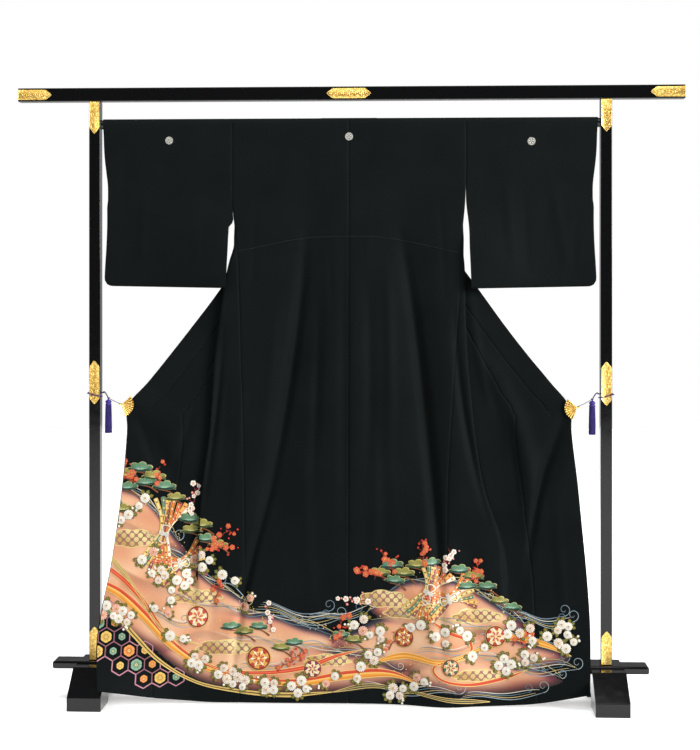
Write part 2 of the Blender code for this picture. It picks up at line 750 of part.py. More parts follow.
def sleeve(side, word):
    """One sleeve: a flat bag over the rail, open at the cuff and along its inner edge."""
    falls = list(SLEEVE_ROWS)
    bottom = curve_through(SLEEVE, "half_space", SLEEVE_DROP)
    loop = [(fall, -1.0) for fall in reversed(falls)]
    loop += [(fall, 1.0) for fall in falls[1:]]
    loop += [(SLEEVE_DROP - bottom * (1 - cos(a)), sin(a)) for a in (pi / 4, 0.0, -pi / 4)]
    shape = bmesh.new()
    rings = []
    for fall, face in loop:
        ring = [sleeve_place(side, fall, face, k / SLEEVE_COLUMNS) for k in range(SLEEVE_COLUMNS + 1)]
        rings.append([shape.verts.new(place) for place in ring])
    count = len(rings)
    for i in range(count):
        here, there = rings[i], rings[(i + 1) % count]
        for j in range(SLEEVE_COLUMNS):
            shape.faces.new((here[j], here[j + 1], there[j + 1], there[j]))
    below = [i for i, (fall, _) in enumerate(loop) if fall >= CUFF_OPENING]
    backs = [i for i in below if loop[i][1] == -1.0]
    fronts = [i for i in below if loop[i][1] == 1.0]
    middle = []
    for i in backs:
        x, y, z = sleeve_place(side, loop[i][0], 0.0, 1.0)
        out = side * SLEEVE_SWELL * curve_through(SLEEVE, "half_space", loop[i][0])
        middle.append(shape.verts.new((x + out * (i != backs[-1]), y, z)))
    for k in range(len(backs) - 1):
        back, front = backs[k], fronts[len(fronts) - 1 - k]
        next_back, next_front = backs[k + 1], fronts[len(fronts) - 2 - k]
        shape.faces.new((rings[back][-1], middle[k], middle[k + 1], rings[next_back][-1]))
        shape.faces.new((middle[k], rings[front][-1], rings[next_front][-1], middle[k + 1]))
    low = [rings[i][-1] for i in (fronts[-1], *range(fronts[-1] + 1, count), backs[0])]
    for first, second in zip(low, low[1:]):
        shape.faces.new((first, second, middle[0]))
    finish_sheet(f"sleeve_{word}", shape, CREPE, CLOTH)


def sleeve_place(side, fall, face, share):
    """A place on the sleeve: face is -1 on its back, 1 on its front and 0 between them."""
    inner = curve_through(SLEEVE, "inner", fall)
    outer = curve_through(SLEEVE, "outer", fall)
    corner = fall - (SLEEVE_DROP - SLEEVE_CORNER)
    if corner > 0.0:
        outer -= SLEEVE_CORNER - sqrt(max(SLEEVE_CORNER**2 - corner**2, 0.0))
    x = inner + (outer - inner) * share
    if fall < QUARTER:
        angle = fall / OVER_RAIL
        return side * x, face * OVER_RAIL * sin(angle), RAIL_HEIGHT + OVER_RAIL * cos(angle)
    half = curve_through(SLEEVE, "half_space", fall)
    push = curve_through(SLEEVE, "push", fall) * (1 - float(eased(share, 0.0, SLEEVE_PUSHED)))
    return side * x, face * half - push - SLEEVE_LEAN * fall, RAIL_HEIGHT - (fall - QUARTER)


def clip(side, word, grip, slant):
    """A sprung jaw over the cloth's corner, with a pleated fan on its front."""
    x, y, z = grip
    outer = side * (abs(x) + JAW_REACH)
    inner = outer - side * JAW_LEG
    bridge = outer - side * JAW_WALL
    near, far = -JAW_SPACE / 2, JAW_SPACE / 2
    points = [(inner, near - JAW_WALL), (outer, near - JAW_WALL), (outer, far + JAW_WALL)]
    points += [(inner, far + JAW_WALL), (inner, far), (bridge, far), (bridge, near), (inner, near)]
    jaw = outline(f"clip_jaw_{word}", [(px - x, py) for px, py in points], JAW_HEIGHT, GILT)
    jaw.location = (x, y, z)
    jaw.rotation_euler.z = slant
    pivot = (outer + side * PIVOT_OUT, y + near - JAW_WALL - PIVOT_FORWARD, z + PIVOT_UP)
    fan(side, f"clip_fan_{word}", pivot)


def fan(side, name, pivot):
    """A pleated fan, opening inward from its pivot and a little downward."""
    shape = bmesh.new()
    rows_of = []
    for k in range(2 * FAN_RIBS + 1):
        angle = FAN_SLANT + FAN_SPREAD * (k / (2 * FAN_RIBS) - 0.5)
        ridge = FAN_RIDGE if k % 2 else -FAN_RIDGE
        row = []
        for radius, height in ((FAN_ROOT, 0.3), (FAN_MIDDLE, 0.7), (FAN_RADIUS - 0.001 * (k % 2), 1.0)):
            row.append(
                (
                    pivot[0] - side * radius * cos(angle),
                    pivot[1] + ridge * height,
                    pivot[2] + radius * sin(angle),
                )
            )
        rows_of.append([shape.verts.new(place) for place in row])
    for here, there in zip(rows_of, rows_of[1:]):
        for j in range(2):
            shape.faces.new((here[j], here[j + 1], there[j + 1], there[j]))
    finish_sheet(name, shape, GILT, FAN_SHEET)


def tie_route(side):
    """The cord from the knot, up over a small peak, round behind the post, across its front and back in."""
    post, half = POST_SPACING / 2, POST_SIDE / 2 + TIE_RADIUS + PLATE_THICKNESS + 2 * GAP
    inner, outer = post - half, post + half
    short = half - TIE_TURN
    route = [
        (0.6585, -0.0145, 0.8230),
        (0.6640, -0.0100, 0.8310),
        (0.6700, -0.0040, 0.8365),
        (inner - 0.0010, 0.0060, 0.8355),
        (inner, short, 0.8335),
        (inner + TIE_TURN, half, 0.8328),
        (post, half, 0.8320),
        (outer - TIE_TURN, half, 0.8325),
        (outer, short, 0.8335),
        (outer, 0.0, 0.8340),
        (outer, -short, 0.8335),
        (outer - TIE_TURN, -half, 0.8330),
        (post, -half, 0.8290),
        (inner + TIE_TURN, -half, 0.8255),
        (inner, -short, 0.8250),
        (inner - 0.0005, -0.0060, 0.8248),
    ]
    return [(side * x, y, z) for x, y, z in route]


def cords(side, word, ring):
    """The cord round the post, its knot, the thread on to the clip, and the tassel."""
    tube(f"tie_{word}", tie_route(side), TIE_RADIUS, SILK_CORD)
    end_of_tie, before = (np.array(place) for place in tie_route(side)[:2])
    knot = end_of_tie + (end_of_tie - before) / np.linalg.norm(end_of_tie - before) * KNOT_RADIUS
    shape = bmesh.new()
    bmesh.ops.create_uvsphere(shape, u_segments=12, v_segments=8, radius=KNOT_RADIUS - GAP)
    mesh = bpy.data.meshes.new(f"knot_{word}")
    shape.to_mesh(mesh)
    shape.free()
    mesh.shade_smooth()
    made = add(f"knot_{word}", mesh, SILK_CORD)
    made.location = knot
    end = np.array(ring)
    start = knot + (end - knot) / np.linalg.norm(end - knot) * KNOT_RADIUS
    sag = np.array((0.0, 0.0, -THREAD_SAG))
    route = [start, start * 0.67 + end * 0.33 + sag, start * 0.33 + end * 0.67 + sag, end]
    tube(f"thread_{word}", route, THREAD_RADIUS, LILAC_CORD)
    tassel(f"tassel_{word}", knot)


def tassel(name, knot):
    """A bound head with strands that hang from its underside, each from its own root."""
    cells = STRANDS_ACROSS
    shape = bmesh.new()
    top = knot[2] - KNOT_RADIUS
    layers = []
    for depth, width in TASSEL_LEVELS:
        layer = {}
        for i in range(cells + 1):
            for j in range(cells + 1):
                inside = 0 < i < cells and 0 < j < cells
                if inside and 0.0 < depth < 1.0:
                    continue
                a, b = 2 * i / cells - 1, 2 * j / cells - 1
                x = a * sqrt(1 - b * b / 2) * width * TASSEL_WIDTH / 2
                y = b * sqrt(1 - a * a / 2) * width * TASSEL_WIDTH / 2
                layer[i, j] = shape.verts.new((knot[0] + x, knot[1] + y, top - depth * TASSEL_HEAD))
        layers.append(layer)
    rim = [(i, 0) for i in range(cells)] + [(cells, j) for j in range(cells)]
    rim += [(i, cells) for i in range(cells, 0, -1)] + [(0, j) for j in range(cells, 0, -1)]
    for upper, lower in zip(layers, layers[1:]):
        for here, there in zip(rim, rim[1:] + rim[:1]):
            shape.faces.new((upper[here], upper[there], lower[there], lower[here]))
    bottom = []
    for layer in (layers[0], layers[-1]):
        for i in range(cells):
            for j in range(cells):
                face = shape.faces.new((layer[i, j], layer[i, j + 1], layer[i + 1, j + 1], layer[i + 1, j]))
                if layer is layers[-1]:
                    bottom.append(face)
    bmesh.ops.recalc_face_normals(shape, faces=shape.faces)
    bmesh.ops.inset_individual(shape, faces=bottom, thickness=STRAND_GAP)
    strands = bottom
    drop = TASSEL_LENGTH - TASSEL_HEAD
    for step, splay in STRAND_STEPS:
        strands = bmesh.ops.extrude_discrete_faces(shape, faces=strands)["faces"]
        for k, face in enumerate(strands):
            middle = face.calc_center_median()
            away = np.array((middle.x - knot[0], middle.y - knot[1]))
            uneven = STRAND_UNEVEN * sin(2.3 * k) * (step > 0.5)
            for vert in face.verts:
                vert.co.x += away[0] * (splay - 1)
                vert.co.y += away[1] * (splay - 1)
                vert.co.z -= drop * step + uneven
    mesh = bpy.data.meshes.new(name)
    shape.to_mesh(mesh)
    shape.free()
    add(name, mesh, SILK_CORD)


remove_everything()
PART = collection("Kimono on its stand")
LACQUER = material("Black lacquered wood", (0.010, 0.010, 0.011), 0.12)
GILT = material("Gilt plate", (0.75, 0.45, 0.10), 0.30, 1.0)
CREPE = material("Black silk crepe", (0.008, 0.010, 0.011), 0.75)
SILK_CORD = material("Purple silk cord", (0.045, 0.012, 0.230), 0.60)
LILAC_CORD = material("Lilac cord", (0.220, 0.160, 0.260), 0.60)

stand()
gilt_plates()
collar()
for SIDE, WORD in ((-1, "left"), (1, "right")):
    body(SIDE, WORD)
    overlap(SIDE, WORD)
    sleeve(SIDE, WORD)
    CORNER = Section(SIDE, COLLAR_END)
    GRIP = CORNER.place(CORNER.whole)
    ALONG = np.array(GRIP) - np.array(CORNER.place(CORNER.whole - 0.02))
    clip(SIDE, WORD, GRIP, atan(ALONG[1] / ALONG[0]))
    cords(SIDE, WORD, np.array(GRIP) + ALONG / abs(ALONG[0]) * (JAW_REACH + 2 * GAP))
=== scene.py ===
"""The looks of a black formal kimono that hangs open on its lacquered stand, with its back to the viewer.

Metres, Z up. X runs along the stand's top bar, and the viewer stands on the -Y side. Left is -X.
"""

from contextlib import contextmanager
from functools import partial
from math import cos, pi, radians, sin, sqrt

import bmesh
import bpy
import numpy as np
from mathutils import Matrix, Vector
from mathutils.geometry import delaunay_2d_cdt


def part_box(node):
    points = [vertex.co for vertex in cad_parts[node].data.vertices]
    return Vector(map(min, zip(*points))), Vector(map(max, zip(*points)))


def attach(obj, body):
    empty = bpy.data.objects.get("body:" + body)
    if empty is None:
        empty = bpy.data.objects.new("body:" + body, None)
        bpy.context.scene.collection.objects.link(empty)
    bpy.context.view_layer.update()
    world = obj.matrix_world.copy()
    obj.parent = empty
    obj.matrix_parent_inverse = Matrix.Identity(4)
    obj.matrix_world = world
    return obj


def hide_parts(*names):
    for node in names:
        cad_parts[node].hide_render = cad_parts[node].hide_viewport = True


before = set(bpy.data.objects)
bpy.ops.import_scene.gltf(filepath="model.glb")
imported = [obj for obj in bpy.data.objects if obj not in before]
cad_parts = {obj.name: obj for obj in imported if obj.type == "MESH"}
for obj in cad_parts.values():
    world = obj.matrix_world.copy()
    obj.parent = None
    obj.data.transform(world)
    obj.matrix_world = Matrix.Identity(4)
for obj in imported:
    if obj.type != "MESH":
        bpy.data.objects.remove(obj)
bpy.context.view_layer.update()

# The camera stands a little to the right of the middle, at chest height, with a long lens. The lens is shifted
# down a little, so that the whole stand fits an upright picture.
PICTURE_HEIGHT = 750  # pixels
LENS_PIXELS = 1525.5
HORIZON_PIXEL = 299.8

lens = bpy.data.cameras.new("Viewer")
lens.sensor_width = 36.0
lens.lens = lens.sensor_width * LENS_PIXELS / PICTURE_HEIGHT
lens.shift_y = (HORIZON_PIXEL - PICTURE_HEIGHT / 2) / PICTURE_HEIGHT
viewer = bpy.data.objects.new("Viewer", lens)
viewer.location = (0.1806, -4.150, 1.0887)
viewer.rotation_euler = (pi / 2, 0.0, 0.0428)
bpy.context.scene.collection.objects.link(viewer)
bpy.context.scene.camera = viewer

# Cords that draw the fronts out: purple silk, laid from three plies, is tied round each post, and ends in a
# small knot. A thin grey-lilac cord runs on from the knot to the clip, drawn taut by the weight of the cloth.
SIDES = ((-1, "left"), (1, "right"))
POST_SPACING = 1.390
POST_SIDE = 0.031
TIE_RADIUS = 0.0018
TIE_LAY = 0.0075
THREAD_RADIUS = 0.0010
THREAD_LAY = 0.0040
THREAD_SAG = (0.0, 0.0, -0.0012)
KNOT_RADIUS = 0.0038
KNOT_CORD = 0.0012
PLATE_STANDS_OUT = 0.0018


def tint(code):
    """An sRGB hex colour turned to linear, as the shaders take it."""
    values = [int(code[i : i + 2], 16) / 255 for i in (1, 3, 5)]
    return tuple(v / 12.92 if v <= 0.04045 else ((v + 0.055) / 1.055) ** 2.4 for v in values) + (1.0,)


def add_node(tree, kind, inputs=None, stops=(), to=None, **settings):
    """One node with its settings, and its inputs set or linked. A node given as a value is its first output.
    The stops of a ramp are places and hex colours. The new node's first output is linked to a given socket."""
    made = tree.nodes.new(kind)
    for name, value in settings.items():
        setattr(made, name, value)
    for key, value in (inputs or {}).items():
        if isinstance(value, bpy.types.Node):
            value = value.outputs[0]
        if isinstance(value, bpy.types.NodeSocket):
            tree.links.new(value, made.inputs[key])
        else:
            made.inputs[key].default_value = value
    for k, (place, colour) in enumerate(stops):
        points = made.color_ramp.elements
        point = points[k] if k < len(points) else points.new(place)
        point.position = place
        point.color = tint(colour)
    if to:
        tree.links.new(made.outputs[0], to)
    return made


def new_material(name, constants):
    """A material with even values on its shader. It comes with a way to add nodes, the shader's sockets, and
    the place on a piece that patterns read."""
    made = bpy.data.materials.new(name)
    made.use_nodes = True
    shader = made.node_tree.nodes["Principled BSDF"].inputs
    for socket, value in constants.items():
        shader[socket].default_value = value
    put = partial(add_node, made.node_tree)
    return made, put, shader, put("ShaderNodeTexCoord").outputs["Object"]
def silk_yarn(name, dark, light):
    """Lustrous dyed silk yarn. Fibres 0.4 mm apart show as fine streaks with a soft sheen."""
    even = {"Roughness": 0.55, "Sheen Weight": 0.10, "Sheen Roughness": 0.4}
    made, put, shader, place = new_material(name, even)
    fibres = put("ShaderNodeTexNoise", {"Vector": place, "Scale": 2500.0, "Detail": 2.0})
    shade = put("ShaderNodeTexNoise", {"Vector": place, "Scale": 160.0, "Detail": 3.0})
    streaks = put("ShaderNodeMath", {0: fibres, 1: shade}, operation="MULTIPLY")
    put("ShaderNodeValToRGB", {"Fac": streaks}, stops=((0.12, dark), (0.42, light)), to=shader["Base Color"])
    put("ShaderNodeBump", {"Height": fibres, "Strength": 0.5, "Distance": 0.0002}, to=shader["Normal"])
    return made
PURPLE_SILK = silk_yarn("Twisted purple silk", "#1E0A3C", "#46186E")
LILAC_CORD = silk_yarn("Thin grey-lilac cord", "#3E3048", "#6E5E7C")


def smooth_route(places, step):
    """A smooth line through some places, flat or in space, with a point about every step."""
    places = np.array(places, dtype=float)
    line = []
    for i in range(len(places) - 1):
        start, end = places[i], places[i + 1]
        before = places[i - 1] if i else 2 * start - end
        after = places[i + 2] if i + 2 < len(places) else 2 * end - start
        u = np.arange(0.0, 1.0, 1 / max(2, round(np.linalg.norm(end - start) / step)))[:, None]
        bend = (2 * before - 5 * start + 4 * end - after) * u**2 + (3 * start - before - 3 * end + after) * u**3
        line.append(0.5 * (2 * start + (end - before) * u + bend))
    return np.vstack(line + [places[-1:]])


def frames_along(line):
    """Two directions across a line at each of its points, that don't twist about it."""
    ahead = np.gradient(line, axis=0)
    ahead /= np.linalg.norm(ahead, axis=1)[:, None]
    first = np.cross(ahead[0], (0.0, 0.0, 1.0) if abs(ahead[0][2]) < 0.9 else (1.0, 0.0, 0.0))
    across = [first / np.linalg.norm(first)]
    for direction in ahead[1:]:
        turned = across[-1] - direction * np.dot(across[-1], direction)
        across.append(turned / np.linalg.norm(turned))
    across = np.array(across)
    return across, np.cross(ahead, across)


def circle(sides):
    """Places evenly round a flat circle of radius 1."""
    turn = np.arange(sides) * 2 * pi / sides
    return np.column_stack((np.cos(turn), np.sin(turn)))


def quads(count, wide, start=0, turned=False, closed=False):
    """Faces of a grid of rows, each so wide. Turned joins the two ends of a row, and closed the end rows."""
    return [
        tuple(start + m % count * wide + n % wide for m, n in ((i, j), (i, j + 1), (i + 1, j + 1), (i + 1, j)))
        for i in range(count if closed else count - 1)
        for j in range(wide if turned else wide - 1)
    ]


def capped(rings, closed=False):
    """Vertices and faces of a tube through rings of places, with its ends filled unless it closes on itself."""
    count, sides = len(rings), len(rings[0])
    faces = quads(count, sides, turned=True, closed=closed)
    if not closed:
        faces += [tuple(range(sides))[::-1], tuple((count - 1) * sides + j for j in range(sides))]
    return np.vstack(rings), faces


def tube_parts(line, radii, sides, closed=False):
    """Vertices and faces of a tube along a line."""
    across, up = frames_along(line)
    rims = circle(sides) * np.reshape(radii, (-1, 1, 1))
    return capped(line[:, None] + across[:, None] * rims[..., :1] + up[:, None] * rims[..., 1:], closed)


def new_piece(name, places, faces, finishes, smooth=True, lines=()):
    """A mesh object made of places and faces."""
    mesh = bpy.data.meshes.new(name)
    mesh.from_pydata([tuple(place) for place in places], lines, faces)
    mesh.validate()
    for finish in finishes:
        mesh.materials.append(finish)
    made = bpy.data.objects.new(name, mesh)
    bpy.context.scene.collection.objects.link(made)
    if smooth:
        mesh.shade_smooth()
    return made


def settle(piece, slot, *nodes):
    """The piece rides on the one body and stands for some of the solids. The slot is not used."""
    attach(piece, "root")
    if nodes:
        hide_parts(*nodes)
    return piece


def joined_parts(parts):
    """Several sets of vertices and faces as one."""
    places, faces, start = [], [], 0
    for part_places, part_faces in parts:
        places.append(np.asarray(part_places))
        faces += [tuple(start + i for i in face) for face in part_faces]
        start += len(part_places)
    return np.vstack(places), faces


def laid_cord(name, route, radius, plies, lay, finish):
    """A cord laid from several plies, each a thin tube that winds round the route once every lay."""
    line = smooth_route(route, radius * 0.5)
    across, up = frames_along(line)
    run = np.concatenate(([0.0], np.cumsum(np.linalg.norm(np.diff(line, axis=0), axis=1))))
    ply = radius / (1 + 1 / sin(pi / plies)) * 1.12
    parts = []
    for k in range(plies):
        turn = (2 * pi * (run / lay + k / plies))[:, None]
        wound = line + (across * np.cos(turn) + up * np.sin(turn)) * (radius - ply)
        parts.append(tube_parts(wound, np.full(len(line), ply), 6))
    return new_piece(name, *joined_parts(parts), [finish]), line


def tie_route(side):
    """From the knot, up over a small peak, round behind the post, across its front and back in."""
    post = POST_SPACING / 2
    half = POST_SIDE / 2 + TIE_RADIUS + PLATE_STANDS_OUT
    inner, outer = post - half, post + half
    bend = 0.004
    route = [(0.6585, -0.0145, 0.8230), (0.6640, -0.0100, 0.8310), (0.6700, -0.0040, 0.8365)]
    route += [(inner - 0.0010, 0.0060, 0.8355), (inner, half - bend, 0.8335), (inner + bend, half, 0.8328)]
    route += [(post, half, 0.8320), (outer - bend, half, 0.8325), (outer, half - bend, 0.8335)]
    route += [(outer, 0.0, 0.8340), (outer, bend - half, 0.8335), (outer - bend, -half, 0.8330)]
    route += [(post, -half, 0.8290), (inner + bend, -half, 0.8255), (inner, bend - half, 0.8250)]
    route += [(inner - 0.0005, -0.0060, 0.8248)]
    return [np.array((side * x, y, z)) for x, y, z in route]


knots = {}
for side, word in SIDES:
    tie, _ = laid_cord(f"tie_cord_{word}", tie_route(side), TIE_RADIUS, 3, TIE_LAY, PURPLE_SILK)
    settle(tie, "silk_cord", f"tie_{word}")
    last, before = tie_route(side)[:2]
    knots[word] = last + (last - before) / np.linalg.norm(last - before) * KNOT_RADIUS
    t = np.linspace(0.0, 2 * pi, 90)[:-1]
    loops = np.stack((np.sin(t) + 2 * np.sin(2 * t), -np.sin(3 * t), np.cos(t) - 2 * np.cos(2 * t)), axis=1)
    bends = knots[word] + loops * (KNOT_RADIUS - KNOT_CORD) / 3
    parts = tube_parts(bends, np.full(len(t), KNOT_CORD), 8, closed=True)
    knot = settle(new_piece(f"tied_knot_{word}", *parts, [PURPLE_SILK]), "silk_cord", f"knot_{word}")
    low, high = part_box(f"thread_{word}")
    jaw_low, jaw_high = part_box(f"clip_jaw_{word}")
    clip_end = np.array((high.x if side < 0 else low.x, (jaw_low.y + jaw_high.y) / 2, low.z + THREAD_RADIUS))
    start = knots[word] + (clip_end - knots[word]) / np.linalg.norm(clip_end - knots[word]) * KNOT_RADIUS
    sagging = [start * (1 - share) + clip_end * share + THREAD_SAG for share in (0.33, 0.67)]
    route = [start, *sagging, clip_end]
    thread, line = laid_cord(f"clip_thread_{word}", route, THREAD_RADIUS, 2, THREAD_LAY, LILAC_CORD)
    settle(thread, "lilac_cord", f"thread_{word}")
    tuple(start)

# Tassels of loose purple silk hang from the knots. Each has a bound head, and a skirt of some two hundred fine
# strands that are cut off nearly level at the bottom and spread a little.
TASSEL_LENGTH = 0.092
TASSEL_WIDTH = 0.0205
HEAD_LENGTH = 0.016
STRANDS = 210
WRAP_SIDES = 32


def new_tree(name, **inputs):
    """An empty Geometry Nodes tree with named inputs: numbers and places at usual values, and a finish."""
    tree = bpy.data.node_groups.new(name, "GeometryNodeTree")
    for way in ("INPUT", "OUTPUT"):
        tree.interface.new_socket(name="Geometry", in_out=way, socket_type="NodeSocketGeometry")
    for label, usual in inputs.items():
        kind = {float: "NodeSocketFloat", tuple: "NodeSocketVector"}.get(type(usual), "NodeSocketMaterial")
        socket = tree.interface.new_socket(name=label.replace("_", " "), in_out="INPUT", socket_type=kind)
        if usual is not None:
            socket.default_value = usual
    return tree, partial(add_node, tree), add_node(tree, "NodeGroupInput").outputs


def end_tree(tree, geometry, finish):
    """The tree's end: real instances and one finish."""
    real = add_node(tree, "GeometryNodeRealizeInstances", {"Geometry": geometry})
    painted = add_node(tree, "GeometryNodeSetMaterial", {"Geometry": real, "Material": finish})
    add_node(tree, "NodeGroupOutput", {"Geometry": painted})
    return tree


def run_tree(piece, tree, values):
    """Runs a tree on a piece with some named inputs, and keeps the result as the piece's own plain mesh."""
    rule = piece.modifiers.new("Rule", "NODES")
    rule.node_group = tree
    for socket in tree.interface.items_tree:
        if socket.in_out == "INPUT" and socket.name in values:
            rule[socket.identifier] = values[socket.name]
    return plain(piece)


def plain(piece):
    """The piece with what its modifiers make as its own mesh."""
    bpy.context.view_layer.update()
    mesh = bpy.data.meshes.new_from_object(piece.evaluated_get(bpy.context.evaluated_depsgraph_get()))
    piece.modifiers.clear()
    mesh.name = piece.name
    piece.data = mesh
    return piece


def strand_tree():
    """Strands that hang from the points of a mesh, spread away from a middle line, and stray a little."""
    sizes = {"Length": 0.07, "Strand_radius": 0.0004, "Spread": 0.4, "Stray": 0.001}
    tree, put, given = new_tree("Tassel strands", **sizes, Middle=(0.0, 0.0, 0.0), Finish=None)
    line = put("GeometryNodeCurvePrimitiveLine", {"End": (0.0, 0.0, -1.0)})
    line = put("GeometryNodeResampleCurve", {"Curve": line, "Count": 12})
    # a random value node has a pair of sockets for each kind of data, and the second pair is for numbers
    uneven = put("FunctionNodeRandomValue", {2: 0.965, 3: 1.0, "Seed": 7}, data_type="FLOAT").outputs[1]
    drop = put("ShaderNodeMath", {0: given["Length"], 1: uneven}, operation="MULTIPLY")
    size = put("ShaderNodeCombineXYZ", {"X": 1.0, "Y": 1.0, "Z": drop})
    hung = put("GeometryNodeInstanceOnPoints", {"Points": given["Geometry"], "Instance": line, "Scale": size})
    real = put("GeometryNodeRealizeInstances", {"Geometry": hung})
    share = put("GeometryNodeSplineParameter").outputs["Factor"]
    place = put("GeometryNodeInputPosition")
    away = put("ShaderNodeVectorMath", {0: place, 1: given["Middle"]}, operation="SUBTRACT")
    level = put("ShaderNodeVectorMath", {0: away, 1: (1.0, 1.0, 0.0)}, operation="MULTIPLY")
    early = put("ShaderNodeMath", {0: share, 1: 0.45}, operation="POWER")
    amount = put("ShaderNodeMath", {0: early, 1: given["Spread"]}, operation="MULTIPLY")
    spread = put("ShaderNodeVectorMath", {0: level, "Scale": amount.outputs[0]}, operation="SCALE")
    waver = put("ShaderNodeTexNoise", {"Vector": place, "Scale": 110.0, "Detail": 1.0}).outputs["Color"]
    centred = put("ShaderNodeVectorMath", {0: waver, 1: (0.5, 0.5, 0.5)}, operation="SUBTRACT")
    flat = put("ShaderNodeVectorMath", {0: centred, 1: (1.0, 1.0, 0.0)}, operation="MULTIPLY")
    grown = put("ShaderNodeMath", {0: share, 1: given["Stray"]}, operation="MULTIPLY")
    stray = put("ShaderNodeVectorMath", {0: flat, "Scale": grown}, operation="SCALE")
    moved = put("ShaderNodeVectorMath", {0: spread, 1: stray}, operation="ADD")
    shaped = put("GeometryNodeSetPosition", {"Geometry": real, "Offset": moved})
    section = put("GeometryNodeCurvePrimitiveCircle", {"Resolution": 4, "Radius": given["Strand radius"]})
    tubes = put("GeometryNodeCurveToMesh", {"Curve": shaped, "Profile Curve": section, "Fill Caps": True})
    return end_tree(tree, put("GeometryNodeSetShadeSmooth", {"Geometry": tubes}), given["Finish"])


def turned_form(middle, outline, sides, ridges):
    """A form turned about an upright line, from rows of height and radius, with fine upright ridges."""
    rim = circle(sides) * (1 + ridges * np.where(np.arange(sides) % 2, -1.0, 1.0))[:, None]
    rings = [np.column_stack((rim * wide + middle[:2], np.full(sides, height))) for height, wide in outline]
    return capped(rings)


TASSEL_SILK = silk_yarn("Loose purple silk", "#12064A", "#3A1F92")
HEAD_FORM = (
    (1.0, 0.90), (0.80, 0.86), (0.68, 0.62), (0.55, 0.78), (0.42, 0.88), (0.28, 0.82), (0.14, 0.62), (0.0, 0.24)
)
strands_rule = strand_tree()
for side, word in SIDES:
    middle = knots[word]
    top = middle[2] - KNOT_RADIUS + 0.0004
    half = TASSEL_WIDTH / 2
    outline = [(top - HEAD_LENGTH * down, half * wide * 0.94) for down, wide in HEAD_FORM]
    parts = [turned_form(middle, outline, 36, 0.025)]
    for wrap in range(4):
        height = np.full(WRAP_SIDES, top - HEAD_LENGTH * (0.62 + 0.045 * wrap))
        ring = np.column_stack((circle(WRAP_SIDES) * half * 0.62 + middle[:2], height))
        parts.append(tube_parts(ring, np.full(WRAP_SIDES, 0.0005), 6, closed=True))
    settle(new_piece(f"tassel_head_{word}", *joined_parts(parts), [TASSEL_SILK]), "silk_cord")
    turn = np.arange(STRANDS) * pi * (3 - sqrt(5))
    reach = np.sqrt((np.arange(STRANDS) + 0.5) / STRANDS) * half * 0.70
    roots = np.stack((middle[0] + reach * np.cos(turn), middle[1] + reach * np.sin(turn)), axis=1)
    roots = np.column_stack((roots, np.full(STRANDS, top - HEAD_LENGTH * 0.80)))
    skirt = new_piece(f"tassel_skirt_{word}", roots, [], [TASSEL_SILK])
    sizes = {"Length": TASSEL_LENGTH - HEAD_LENGTH * 0.80, "Strand radius": 0.00042}
    sizes.update({"Spread": 0.32, "Stray": 0.0016, "Middle": tuple(middle), "Finish": TASSEL_SILK})
    run_tree(skirt, strands_rule, sizes)
    settle(skirt, "silk_cord", f"tassel_{word}")

# The stand: squared timbers of light hardwood, planed, edges rounded over, and finished in many coats of
# polished black lacquer. The posts stand in a long base board that is let into two sledge feet.
BOARD_DEPTH = 0.066
RAIL_HEIGHT = 1.568
RAIL_RADIUS = 0.0128
JOINT_GAP = 0.0003


def black_lacquer():
    """Polished black lacquer: very smooth, mirror-like at a slant, with faint brush waves and a little dust."""
    even = {"IOR": 1.5, "Specular IOR Level": 0.30, "Coat Weight": 0.15, "Coat Roughness": 0.05}
    made, put, shader, place = new_material("Polished black lacquer", even)
    dust = put("ShaderNodeTexNoise", {"Vector": place, "Scale": 420.0, "Detail": 4.0, "Roughness": 0.65})
    stops = ((0.30, "#030304"), (0.72, "#070809"))
    put("ShaderNodeValToRGB", {"Fac": dust}, stops=stops, to=shader["Base Color"])
    span = {"Value": dust, "From Min": 0.35, "From Max": 0.75, "To Min": 0.07, "To Max": 0.20}
    put("ShaderNodeMapRange", span, to=shader["Roughness"])
    waves = put("ShaderNodeTexNoise", {"Vector": place, "Scale": 14.0, "Detail": 2.0})
    put("ShaderNodeBump", {"Height": waves, "Strength": 0.12, "Distance": 0.004}, to=shader["Normal"])
    return made
LACQUER = black_lacquer()


def rounded(piece, width):
    """The piece with its sharp edges rounded over."""
    edges = piece.modifiers.new("Rounded edges", "BEVEL")
    edges.width = width
    edges.segments = 3
    edges.limit_method = "ANGLE"
    edges.angle_limit = radians(25)
    edges.harden_normals = True
    return plain(piece)


def prism(outline, near, far, along):
    """Vertices and faces of an outline drawn across one axis, from near to far along it."""
    count = len(outline)
    places = [[*point[:along], depth, *point[along:]] for depth in (near, far) for point in outline]
    faces = [tuple(range(count)), tuple(range(2 * count - 1, count - 1, -1))]
    faces += [(i, count + i, count + (i + 1) % count, (i + 1) % count) for i in range(count)]
    return places, faces


@contextmanager
def reshaping(piece):
    """The piece's mesh, open for changes."""
    shape = bmesh.new()
    shape.from_mesh(piece.data)
    yield shape
    shape.to_mesh(piece.data)
    shape.free()


def outward(piece):
    """The piece with its faces turned outwards."""
    with reshaping(piece) as shape:
        bmesh.ops.recalc_face_normals(shape, faces=shape.faces)
    return piece


def solid_piece(name, parts, finish, round_over):
    """A hard piece with flat faces and rounded edges."""
    return rounded(outward(new_piece(name, *parts, [finish], smooth=False)), round_over)


